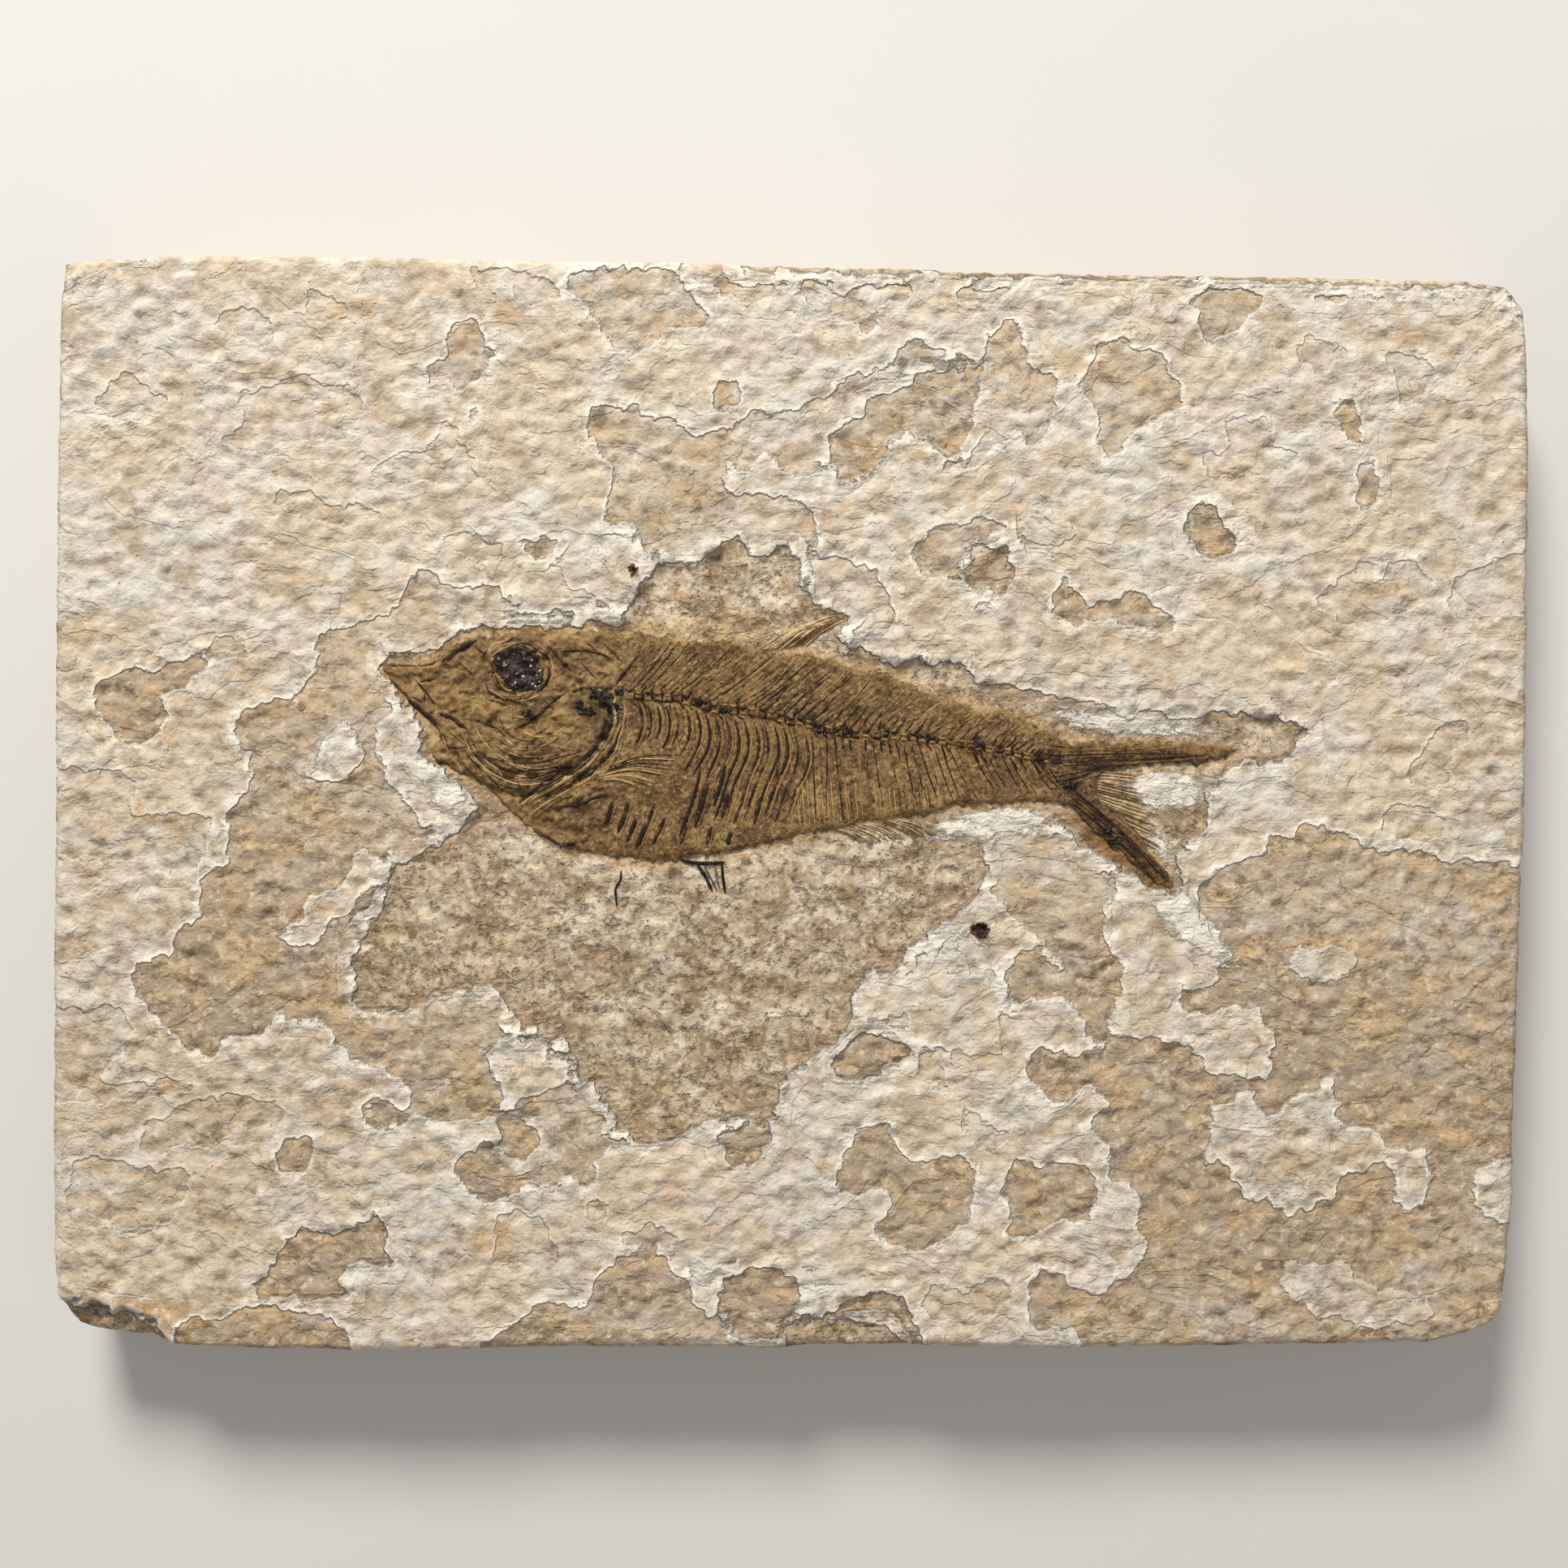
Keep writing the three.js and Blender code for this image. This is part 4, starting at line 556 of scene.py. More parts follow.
# The face is gently wavy, in swells that run along the slab.
swell = stone.noise(3, 2.2, 1.3, 1.25)
ripple = stone.noise(4, 1.1, 1.2, 1.4)
bed_zone = smooth(stone.blur((layers < BED + 0.1).astype(float), 0.5), 0.3, 0.7)
fish_on_stone = sum(stone.heights(node, BED) for node in FILM_NODES) > 0
halo = smooth(stone.blur(fish_on_stone.astype(float), 0.9), 0.02, 0.4)
under_fish = smooth(stone.blur(fish_on_stone.astype(float), 0.8), 0.0, 0.4)
stone_top = layers + (0.12 * swell + 0.035 * ripple) * (1 - 0.6 * under_fish) * (1 - 0.15 * bed_zone)

# Small pits, and the foot of the walls round them, get more of the browner floor colour than the wide sheets
# at the same depth: painted shade in the recesses, over the deeper layers' own browner colour.
# Towards the slab's lower end the stone is browner and darker: partly its own colour, partly painted shade
# where the light falls off.
south_tone_and_shade = smooth(-stone.y, -30, 25)
pit_shade = np.clip(stone.blur(layers, 3.0) - layers, 0, 0.3)
floor_zone = (0.42 + 2.6 * pit_shade) * (0.8 + 0.3 * south_tone_and_shade) * (1 - 0.4 * bed_zone)
# Each spot below is (strength, x, y, radius along x, radius along y, turn in degrees).
brown_zone = 0.17 * south_tone_and_shade + stone.spots(
    (0.3, 50, -22, 20, 16), (0.28, 40, -38, 20, 10), (0.34, -50, -18, 24, 36),
    (0.4, 37, 42.6, 5, 3, 15), (0.4, 40, 32, 4, 2, 15), (0.4, 51, 17.7, 8, 4.5, 15),
    (0.4, 54, 35, 3.5, 2, 15), (0.4, -46, 37, 7, 3, 15), (0.4, -52, 12, 7, 3, 15),
    (0.4, -8, 26, 8, 3, 15), (0.4, 22, 16, 5, 2.5, 15), (0.4, -38, 20, 5, 2, 15), (0.4, 60, 5, 4, 8, 15))
ochre_zone = 0.85 * halo + 0.2 * bed_zone + stone.spots(
    (0.9, -5, 15.3, 5.5, 0.9), (0.3, -6, 17, 9, 3), (1.2, 27.6, 0.8, 3.4, 2.8), (0.4, 35, 3.6, 6, 1.2),
    (0.1, 45, -36, 22, 9), (0.8, -58, -45, 9, 4))
white_zone = stone.spots(
    (1.0, 17.8, -1.3, 8, 2.2, 10), (1.1, 32.6, 1.4, 4.2, 2.6, -10), (1.0, 31.6, -4, 4.2, 1.2, -50),
    (1.0, 33.8, -9.6, 8, 2.0, -45), (0.9, 30, 6.7, 12, 1.5, -8), (0.7, -29.5, 0.5, 2.5, 2),
    (0.7, -30, 5, 2.5, 4), (0.5, 7, 12, 6, 1.2, -30), (0.8, 25, -1.8, 3, 0.8, -40), (0.5, 14, -11, 3, 2, 30))
# The fish has stained the stone round its tail.
tail_stain = np.zeros(stone.x.shape)
stone.stroke(tail_stain, [(22, -0.4), (27.5, -3.4), (33.5, -8.2)], 1.5, 1.0)
stone.stroke(tail_stain, [(22, 3.9), (31, 4.3), (41, 4.8)], 1.1, 1.0)
stone_fields = {
    "level": layers, "lower": layers - rise * across, "rise": rise, "across": across,
    "floors": floor_zone, "brown": brown_zone, "ochre": ochre_zone, "grainy": bed_zone,
    "white": white_zone - 1.2 * tail_stain - 0.6 * halo, "stain": 0.9 * tail_stain + 0.2 * halo,
    # Painted shade: how low each point lies in the face's swells.
    "hollow_shade": smooth(-swell - 0.3 * ripple, -1.5, 1.8),
}
# What the broken sides have in place of the face's own values.
SIDE_VALUES = {"side": 1, "level": FACE - 0.15, "lower": FACE - 0.15, "rise": 0, "grainy": 0, "white": 0,
               "brown": 0.25, "ochre": 0.1}


def quads(index):
    """The faces of a grid of point numbers, seen from above."""
    corners = (index[:-1, :-1], index[:-1, 1:], index[1:, 1:], index[1:, :-1])
    return np.column_stack([corner.ravel() for corner in corners]).tolist()


def outer_loop(index):
    """The numbers round the edge of a grid of point numbers."""
    return np.concatenate([index[0, :-1], index[:-1, -1], index[-1, :0:-1], index[:0:-1, 0]])


def side_rings(rim):
    """The broken sides, from the rim down: thin sheets, each set back by its own amount."""
    ahead = np.roll(rim[:, :2], -3, axis=0) - np.roll(rim[:, :2], 3, axis=0)
    outward = np.column_stack([ahead[:, 1], -ahead[:, 0]]) / np.hypot(*ahead.T)[:, None]
    along = np.arange(len(rim)) / len(rim)
    rng = np.random.default_rng(8)
    rings, count = [], 12
    for k in range(1, count + 1):
        wave = sum(rng.normal() * np.cos(2 * math.pi * (f * along + rng.random())) / f ** 0.5
                   for f in (3, 7, 13, 29, 61, 97, 151, 211))
        set_back = np.clip(0.22 + 0.2 * wave, 0, 0.9) * rng.uniform(0.4, 1.2) * (1 if k < count else 0.3)
        rings.append(np.column_stack([rim[:, :2] - outward * set_back[:, None], rim[:, 2] * (1 - k / count)]))
    return rings


def build_slab():
    """The block as one closed mesh: its split face, its broken sides and its flat, coarser back."""
    columns, rows, back_step = 329, 241, 4
    plan = sheet_of_points(columns, rows)
    x, y = plan[..., 0], plan[..., 1]
    column, row = np.arange(columns)[None, :], np.arange(rows)[:, None]
    rim_gap = np.minimum(np.minimum(column, columns - 1 - column), np.minimum(row, rows - 1 - row))
    rim_gap = rim_gap * (slab_high[0] - slab_low[0]) / (columns - 1)
    worn = 0.45 * np.exp(-rim_gap / 0.5) * (1 + 0.5 * stone.sample(swell, x, y))
    z = stone.sample(stone_top, x, y) - np.clip(worn, 0.1, 0.9)
    top = np.column_stack([x.ravel(), y.ravel(), z.ravel()])
    index = np.arange(len(top)).reshape(rows, columns)
    loop = outer_loop(index)
    back = plan[back_step:-1:back_step, back_step:-1:back_step]
    x, y = back[..., 0], back[..., 1]
    z = np.clip(0.12 + 0.05 * stone.sample(swell, y, x) + 0.05 * stone.sample(ripple, -x, y), 0, 0.4)
    underside = np.column_stack([x.ravel(), y.ravel(), z.ravel()])
    points = np.concatenate([top] + side_rings(top[loop]) + [underside])
    back_start = len(points) - len(underside)
    back_index = np.arange(back_start, len(points)).reshape(x.shape)

    faces = quads(index) + quads(back_index.T)
    for start in range(len(top), back_start, len(loop)):
        below = start + np.arange(len(loop))
        faces += np.column_stack([loop, below, np.roll(below, -1), np.roll(loop, -1)]).tolist()
        loop = below
    faces += stitch(loop, outer_loop(back_index), points)
    values = {key: stone.sample(field, points[:, 0], points[:, 1]) for key, field in stone_fields.items()}
    values["side"] = np.zeros(len(points))
    for key, value in SIDE_VALUES.items():
        values[key][len(top):back_start] = value
    add_piece("limestone_slab_stone", points, faces, stone_material(), ["limestone_slab"], values)


def stitch(outer, inner, points):
    """Triangles between two closed loops of points that run the same way round."""
    def turn(loop):
        p = points[loop]
        return np.unwrap(np.arctan2(p[:, 1], p[:, 0]))
    a, b = turn(outer), turn(inner)
    faces, i, j = [], 0, 0
    n, m = len(outer), len(inner)
    while i < n or j < m:
        next_a = a[i + 1] if i + 1 < n else a[0] + 2 * math.pi
        next_b = b[j + 1] if j + 1 < m else b[0] + 2 * math.pi
        if j >= m or (i < n and next_a <= next_b):
            faces.append([int(outer[i % n]), int(inner[j % m]), int(outer[(i + 1) % n])])
            i += 1
        else:
            faces.append([int(inner[j % m]), int(inner[(j + 1) % m]), int(outer[i % n])])
            j += 1
    return faces


build_slab()


# ---------------------------------------------------------------- the fish

fish = Grid(-37, -10, 41, 18, 0.112)
rough_x = 0.17 * fish.noise(21, 0.8, 0.4)
rough_y = 0.17 * fish.noise(22, 0.8, 0.4)


def footprint(*nodes):
    """Where the CAD nodes lie, with a slightly ragged edge."""
    field = sum(fish.heights(node, BED) for node in nodes) > 0
    return fish.sample(field.astype(float), fish.x + rough_x, fish.y + rough_y) > 0.5


film_area = ~grow(~grow(footprint(*FILM_NODES), 5), 5)
film_soft = smooth(fish.blur(film_area.astype(float), 0.35), 0.5, 1.0)
ink = np.zeros(fish.x.shape)
rng = np.random.default_rng(31)

BACKBONE = [
    (-14.3, 9.5), (-11.5, 9.2), (-9.5, 9.1), (-7, 8.4), (-4.5, 8), (-1.5, 7.6), (1.5, 6.8), (3.6, 6.3),
    (6.5, 6), (10, 5.8), (13.5, 5.4), (16.4, 4.9), (19.5, 4.3), (21.6, 3.8), (23.8, 3.6),
]


def backbone_y(x):
    return float(np.interp(x, *np.array(BACKBONE).T))


def on_film(x, y):
    return fish.sample(fish_top, x, y)


def on_stone(x, y):
    return stone.sample(stone_top, x, y)


def inside_film(line):
    """The line as far as it stays on the fish."""
    path = smooth_line(line, 0.4)
    inside = fish.sample(film_soft, path[:, 0], path[:, 1]) > 0.15
    end = len(path) if inside.all() else int(np.argmin(inside))
    return path[:end]


def leaning(x, y, reach, degrees, sag=0.0):
    """A three-point line from (x, y), with its middle dropped a little."""
    dx, dy = reach * math.cos(math.radians(degrees)), reach * math.sin(math.radians(degrees))
    return [(x, y), (x + dx / 2, y + dy / 2 - sag), (x + dx, y + dy)]


def neural_spines():
    """Spines above the backbone, leaning back towards the tail as far as the fish's back."""
    lines = []
    for x in np.arange(-14.3, -3, 0.56):
        lean = np.interp(x, [-14, -8, -3], [52, 40, 34]) + rng.normal(0, 2)
        reach = np.interp(x, [-14, -8, -3], [6.6, 7.4, 6.8]) * rng.uniform(0.75, 1.1)
        line = leaning(x, backbone_y(x) + 0.4, reach, lean, 0.25)
        lines.append((line, rng.uniform(0.055, 0.085), 0.06, rng.uniform(0, 0.7)))
    for x in np.arange(-3, 22.6, 0.8):
        lean = np.interp(x, [-3, 8, 22], [42, 52, 40]) + rng.normal(0, 3)
        reach = np.interp(x, [-3, 8, 22], [3.2, 2.0, 1.0]) * rng.uniform(0.8, 1.2)
        lines.append((leaning(x, backbone_y(x) + 0.3, reach, lean, 0.1), 0.095, 0.07, rng.uniform(0, 0.25)))
        if x < 17:
            far = leaning(x + 0.3, backbone_y(x) + 0.8, 2.4 * reach, lean - 6, 0.2)
            lines.append((far, 0.05, 0.045, rng.uniform(0.2, 0.8)))
    return lines


def back_supports():
    """Short bones between the tips of the spines and the back, below the dorsal fin."""
    lines = []
    for x in np.arange(-13, 5, 0.75):
        y = backbone_y(x) + 2.9 + rng.uniform(-0.3, 0.6)
        line = leaning(x, y, rng.uniform(1.6, 2.8), rng.normal(42, 3), 0.05)
        lines.append((line, 0.06, 0.05, rng.uniform(0.1, 0.9)))
    return lines


def haemal_spines():
    """Spines below the rear half of the backbone, reaching for the belly's edge."""
    lines = []
    for x in np.arange(1.8, 22.5, 0.66):
        reach = np.interp(x, [2, 8, 14, 22], [8.2, 6.2, 4.6, 2.4]) * rng.uniform(0.85, 1.05)
        lean = np.interp(x, [2, 8, 14, 22], [-88, -80, -66, -52]) + rng.normal(0, 2)
        shade = rng.uniform(0, 0.8)
        line = leaning(x, backbone_y(x) - 0.55, reach, lean, 0.15)
        lines.append((line, rng.uniform(0.06, 0.09), 0.06, shade))
        if rng.random() < 0.5:
            lines.append((leaning(x, backbone_y(x) - 0.4, 1.3, lean, 0), 0.11, 0.08, 0))
    return lines


def fine_bones():
    """Hair-fine bones lying between the spines and ribs."""
    lines = []
    for _ in range(210):
        x = rng.uniform(-13, 21)
        above = rng.random() < 0.5
        y = backbone_y(x) + (rng.uniform(0.4, 3) if above else -rng.uniform(0.6, 6))
        lean = rng.normal(32, 8) if above else rng.normal(-86, 9) + 1.6 * max(0, x)
        lines.append((leaning(x, y, rng.uniform(0.8, 2.4), lean), 0.04, 0.035, rng.uniform(0, 1)))
    return lines


def belly_rays():
    """The closely spaced supports above the anal fin."""
    lines = []
    for x in np.arange(0.6, 13, 0.42):
        top = np.interp(x, [0, 6, 13], [2.6, 1.4, 1.2]) + rng.uniform(-0.4, 0.9)
        low = np.interp(x, [0, 13], [-2.7, -0.9])
        line = [(x - 0.1, top), (x + 0.05, (top + low) / 2), (x + 0.3, low)]
        lines.append((line, rng.uniform(0.05, 0.075), 0.055, rng.uniform(0.1, 1)))
    return lines


def fan(roots, tips, count, half, rise, shades, bend=0.0):
    """Fin rays that spread from one short line to another."""
    lines = []
    for t in np.linspace(0, 1, count):
        a = np.array(roots[0]) * (1 - t) + np.array(roots[1]) * t
        b = np.array(tips[0]) * (1 - t) + np.array(tips[1]) * t + rng.normal(0, 0.12, 2)
        side = np.array([a[1] - b[1], b[0] - a[0]])
        middle = (a + b) / 2 + bend * side + rng.normal(0, 0.03, 2)
        lines.append(([a, middle, b], half * rng.uniform(0.8, 1.2), rise, rng.uniform(*shades)))
    return lines


def arc(middle, radii, degrees):
    """Points round a middle, in the order of the given angles."""
    turn = np.radians(degrees)[:, None]
    return np.asarray(middle) + np.asarray(radii) * np.hstack([np.cos(turn), np.sin(turn)])


def cheek_creases():
    """Curved creases round the cheek and gill cover, and short ones all over the head."""
    lines = []
    for r in 2.6 + 0.19 * np.arange(30):
        middle = rng.normal(-22.4, 0.35), rng.normal(8.3, 0.3)
        start = rng.uniform(190, 240)
        crease = arc(middle, (r, 0.98 * r), np.linspace(start, start + rng.uniform(35, 95), 5))
        lines.append((crease, rng.uniform(0.05, 0.1), rng.uniform(0.04, 0.08), rng.uniform(0, 0.9)))
    for _ in range(44):
        x, y = rng.uniform(-33, -15.5), rng.uniform(1.5, 14.4)
        lean = rng.normal(-36, 22)
        crease = leaning(x, y, rng.uniform(0.6, 2.4), lean, rng.normal(0, 0.12))
        lines.append((crease, rng.uniform(0.05, 0.09), 0.06, rng.uniform(0, 1)))
    return lines


def cheek_folds():
    """Broad low folds of the cheek and gill cover, in arcs below the eye, with hollows between."""
    lines = []
    for k in range(9):
        sweep = np.linspace(rng.uniform(195, 225), rng.uniform(290, 325), 6)
        r = 3.6 + 0.75 * k + rng.normal(0, 0.15, (6, 1))
        lines.append((arc((-22.6, 8.6), r, sweep), rng.uniform(0.25, 0.45), 0.2 if k % 2 else -0.16))
    return lines


HEAD_LINES = [
    # (points, half width, darkness, rise)
    ([(-35.4, 11.3), (-33.9, 10), (-33, 9.1)], 0.10, 0.7, 0.03),
    ([(-33.2, 9.1), (-32.2, 8.2), (-31.1, 7.3), (-30.6, 6.9)], 0.24, 1.0, 0.05),
    ([(-32.4, 10.6), (-31.8, 9.8), (-31.3, 9.2), (-30.7, 8.5)], 0.12, 0.8, 0.04),
    ([(-32.2, 10.5), (-31.4, 10.7), (-30.6, 10.9)], 0.10, 0.7, 0.03),
    ([(-30.6, 7.8), (-29.4, 7.4), (-28.7, 6.9), (-28, 6.4)], 0.22, 0.8, 0.05),
    ([(-28.2, 7.3), (-26.8, 7.1), (-25.9, 6.7), (-25, 6.45), (-24, 6.35)], 0.09, 1.0, -0.05),
    ([(-24, 6.4), (-22.8, 7), (-21.6, 7.9), (-20.4, 9), (-19.4, 9.6)], 0.12, 0.9, 0.05),
    ([(-30.2, 12.2), (-29.5, 12.7), (-28.8, 13.2), (-28.2, 13.7), (-27.2, 14.1)], 0.26, 1.0, 0.04),
    ([(-35, 12), (-33, 11.9), (-31.4, 12), (-30.2, 12.6)], 0.10, 0.4, 0.02),
    ([(-26.4, 10.6), (-26.2, 9.9), (-25.5, 9.3), (-24.4, 9), (-23, 9.1)], 0.12, 0.7, 0.05),
    ([(-21.1, 12), (-20.9, 11.2), (-21.3, 10.3), (-22, 9.6)], 0.13, 0.8, 0.05),
    ([(-24.4, 13.4), (-23.2, 13.4), (-22.4, 13.2), (-21.5, 13), (-20.7, 12.3)], 0.12, 0.8, 0.04),
    ([(-27.4, 13.6), (-26.4, 12.8), (-25.8, 11.8), (-25.9, 10.8)], 0.12, 0.5, 0.03),
    ([(-30.2, 5.3), (-29.1, 4.8), (-27.8, 5.0), (-26.9, 5.5)], 0.08, 0.45, 0.03),
    ([(-28.1, 4.3), (-27.5, 3.6), (-26.6, 2.8), (-25.8, 2), (-25, 1.2)], 0.10, 0.9, 0.04),
    ([(-26.6, 4.1), (-24.6, 3.6), (-22.3, 3.5), (-20, 4), (-18, 4.5)], 0.09, 0.7, 0.04),
    ([(-25.4, 3.1), (-23.4, 2.8), (-21.3, 3), (-19.4, 3.4)], 0.09, 0.7, 0.04),
    ([(-25, 2.2), (-23.4, 2.1), (-21.8, 2.4), (-20, 3)], 0.09, 0.7, 0.03),
    ([(-24.8, 1.4), (-23.6, 1.3), (-22.4, 1.7)], 0.08, 0.6, 0.03),
    ([(-20.4, 3.1), (-19.4, 3.3), (-18.5, 3.1)], 0.22, 1.0, 0.03),
    ([(-15.5, 8.6), (-15.9, 7.6), (-16.2, 6.4), (-16.7, 5.4), (-17.3, 4.5), (-18.4, 3.6),
      (-19.8, 2.9)], 0.2, 1.0, 0.06),
    ([(-19.8, 2.9), (-21, 2.1), (-22.3, 1.1), (-23.6, 0.1)], 0.12, 1.0, 0.05),
    ([(-14.2, 7.4), (-14.9, 6.1), (-15.3, 4.9), (-16, 3.8), (-17, 2.8), (-18.4, 1.9)], 0.12, 0.9, 0.05),
    ([(-22, -0.1), (-20.5, 0.5), (-18.9, 1.6)], 0.08, 0.8, 0.03),
    ([(-19.6, -0.3), (-18.3, -0.1), (-17.2, 0.4), (-15.9, 0.8)], 0.17, 1.0, 0.03),
    ([(-20.6, 13.2), (-19.8, 12.3), (-18.9, 11.4)], 0.11, 0.8, 0.04),
    ([(-20, 13.1), (-18.2, 13.3), (-16.6, 13), (-15.2, 12.3)], 0.1, 0.7, 0.04),
    ([(-16.4, 14), (-15.4, 13.1), (-14.6, 12.2)], 0.07, 0.6, 0.02),
    ([(-15.2, 10.2), (-14.5, 11.2), (-13.7, 12.2), (-13.2, 12.8)], 0.15, 0.8, 0.04),
    ([(-19, 9.6), (-18, 10), (-16.9, 10), (-15.4, 10.1)], 0.15, 0.8, 0.04),
    ([(-22.4, -2.2), (-21, -3), (-19.8, -3.6), (-18.6, -3.6)], 0.14, 0.6, 0.03),
]

# Black-blue knots of bone: x, y, radius along x, radius along y.
KNOTS = [
    # behind the head, where the skull meets the backbone
    (-18.3, 8.6, 0.4, 0.6), (-17.7, 8.0, 1.0, 0.5), (-17.0, 9.5, 0.5, 0.6), (-16.1, 9.1, 0.8, 0.9),
    (-15.6, 8.5, 1.1, 0.6), (-15.2, 7.9, 0.6, 0.9), (-15.6, 7.1, 0.4, 1.0), (-14.9, 9.6, 0.5, 0.5),
    # the cheek and the jaw
    (-22.8, 7.8, 0.6, 0.5), (-22.3, 7.4, 0.4, 0.3), (-26.1, 7.15, 0.35, 0.2), (-30.6, 3.5, 0.7, 0.3),
    # along the backbone
    (-8.1, 8.6, 0.4, 0.4), (-7.2, 8.2, 0.3, 0.3), (-6, 8.3, 0.45, 0.5), (-5.4, 8.1, 0.4, 0.6),
    (2.4, 6.4, 0.35, 0.5), (3.1, 6.3, 0.3, 0.5), (3.8, 6.3, 0.35, 0.5), (4.9, 6.2, 0.4, 0.6),
    (8.2, 6.1, 0.4, 0.55), (11.8, 5.7, 0.35, 0.5), (16.4, 5.0, 0.45, 0.5), (21.5, 3.7, 0.5, 0.45),
    # the tail, the belly and beside the dorsal fin
    (27.3, -2.3, 0.7, 0.4), (28.1, -3.2, 0.7, 0.5), (24.2, 1.6, 0.8, 0.5), (-19.2, -3.5, 0.7, 0.2),
    (-1.5, 14.4, 0.3, 0.12),
]


def ribs():
    """Curved ribs, each with a finer one beside it."""
    lines = []
    rows = [(-13.2, 3.6), (-12.4, 3.4), (-11.6, 3.2), (-10.8, 3.9), (-10.1, 3.8), (-9.1, 4.2), (-8.2, 5.4),
            (-7.4, 6.4), (-6.6, 8.6), (-5.7, 8.4), (-4.9, 8.8), (-4.1, 9.4), (-3.2, 9), (-2.4, 9.2),
            (-1.5, 8.8), (-0.7, 8.6), (0.2, 8), (1.1, 7.4)]
    for x, drop in rows:
        top = backbone_y(x) - 0.7
        for aside, half, rise, shades in ((0, 0.15, 0.1, (0, 0.3)), (0.27, 0.085, 0.07, (0.5, 1.1)),
                                          (0.5, 0.06, 0.05, (0, 0.9))):
            length = drop * rng.uniform(0.85, 1.05)
            path = []
            for t in np.linspace(0, 1, 7):
                bow = 0.55 * math.sin(math.pi * min(1, t * length / 5))
                path.append((x + aside + bow - 0.2 * length * t * t, top - length * t))
            lines.append((path, half * rng.uniform(0.85, 1.2), rise, rng.uniform(*shades)))
    return lines


BELLY_RIB_ENDS = [
    [(-14, 0.4), (-14.4, -1), (-15, -2.6)], [(-13.4, -1.3), (-14.2, -3.4)],
    [(-11.8, 0), (-12.5, -2), (-13, -3.6)], [(-10.9, -1.2), (-12, -3.6)],
    [(-7.8, 3.3), (-8.4, 0.6), (-9.7, -2.9)], [(-7.1, 2), (-7.6, 0.2), (-8.3, -2.1)],
    [(-5.6, 4), (-6, 2), (-6.7, -0.3)], [(-5.4, 1), (-6, -1.3)], [(-2.6, 0.6), (-3.2, -1.8)],
    [(-0.9, 4.8), (-1.2, 3), (-1.5, 1)], [(-12.6, -1.8), (-13.4, -3.9)], [(-15.4, 0.2), (-16, -1.8)],
    [(-9, -1.8), (-9.6, -3.6)], [(-6.9, -2), (-7.3, -3.6)], [(-5.2, -2.4), (-5.5, -3.6)],
]


def belly_rib_ends():
    """The dark lower ends of the ribs, each with a finer, paler one beside it."""
    ends = [(line, rng.uniform(0.16, 0.24), 0.11, rng.uniform(-0.2, 0.2)) for line in BELLY_RIB_ENDS]
    return ends + [(np.array(line) + (0.38, 0), 0.08, 0.08, rng.uniform(0.4, 1)) for line in BELLY_RIB_ENDS]


def vertebrae():
    """Hour-glass vertebrae: two pinched sides, a joint ring, and a short arch above and below."""
    lines = []
    for x in np.arange(-14, 23.6, 0.82):
        y = backbone_y(x) + rng.normal(0, 0.05)
        slope = (backbone_y(x + 0.4) - backbone_y(x - 0.4)) / 0.8
        half = np.interp(x, [-14, 23], [0.4, 0.25]) * rng.uniform(0.8, 1.25)
        for side in (1, -1):
            line = [(x - 0.32, y + side * half - 0.32 * slope), (x, y + side * half * 0.6),
                    (x + 0.34, y + side * half + 0.34 * slope)]
            lines.append((line, 0.14, 0.14, rng.uniform(-0.2, 1.0)))
            arch = leaning(x + 0.2, y + side * half, rng.uniform(0.6, 1.1), side * rng.normal(50, 9))
            lines.append((arch, rng.uniform(0.07, 0.12), 0.1, rng.uniform(-0.2, 0.8)))
        ring = [(x + 0.38, y - 1.3 * half), (x + 0.4 + rng.normal(0, 0.06), y), (x + 0.38, y + 1.3 * half)]
        lines.append((ring, rng.uniform(0.1, 0.17), 0.15, rng.uniform(-0.2, 0.6)))
    return lines


GIRDLE = [(-15.2, 9.4), (-15.3, 8.4), (-15.2, 7.4), (-15.6, 6), (-16.2, 4.9), (-17.2, 3.7), (-18.4, 2.7),
          (-20.2, 1.7), (-21.8, 0.8), (-23.2, -0.3)]


def girdle():
    """The curved shoulder girdle: long blades side by side, split and worn."""
    lines = []
    for dx, dy, half, rise, shade in ((0, 0, 0.26, 0.15, 0.6), (0.42, -0.3, 0.15, 0.11, 0.1),
                                      (-0.42, 0.28, 0.12, 0.1, 0.0), (0.78, -0.6, 0.12, 0.08, 0.7),
                                      (-0.16, 0.1, 0.08, 0.2, 0.2), (1.1, -0.9, 0.09, 0.08, 0.2)):
        for start, end in ((0, 6), (4, 8), (6, 10)):
            line = np.array(GIRDLE[start:end]) + (dx, dy)
            line += rng.normal(0, 0.07, line.shape)
            lines.append((line, half * rng.uniform(0.75, 1.15), rise, shade + rng.uniform(-0.2, 0.3)))
    return lines


def tail_rays():
    upper = fan([(22.5, 4.7), (23.2, 2.8)], [(38.0, 4.8), (35.0, 3.8)], 15, 0.07, 0.06, (-0.3, 0.6))
    lower = fan([(23.0, 2.4), (24.6, -0.2)], [(33.0, -6.9), (31.6, -6.5)], 15, 0.07, 0.06, (-0.3, 0.6), 0.02)
    fringe = fan([(25.5, 1.9), (28.0, -1.2)], [(28.4, 0.2), (32.6, -5.2)], 12, 0.06, 0.05, (0.3, 1.0))
    short = fan([(21.6, 5.2), (22.6, 1.2)], [(27.2, 4.6), (27.0, 2.6)], 9, 0.09, 0.07, (0, 0.5))
    return upper + lower + fringe + short


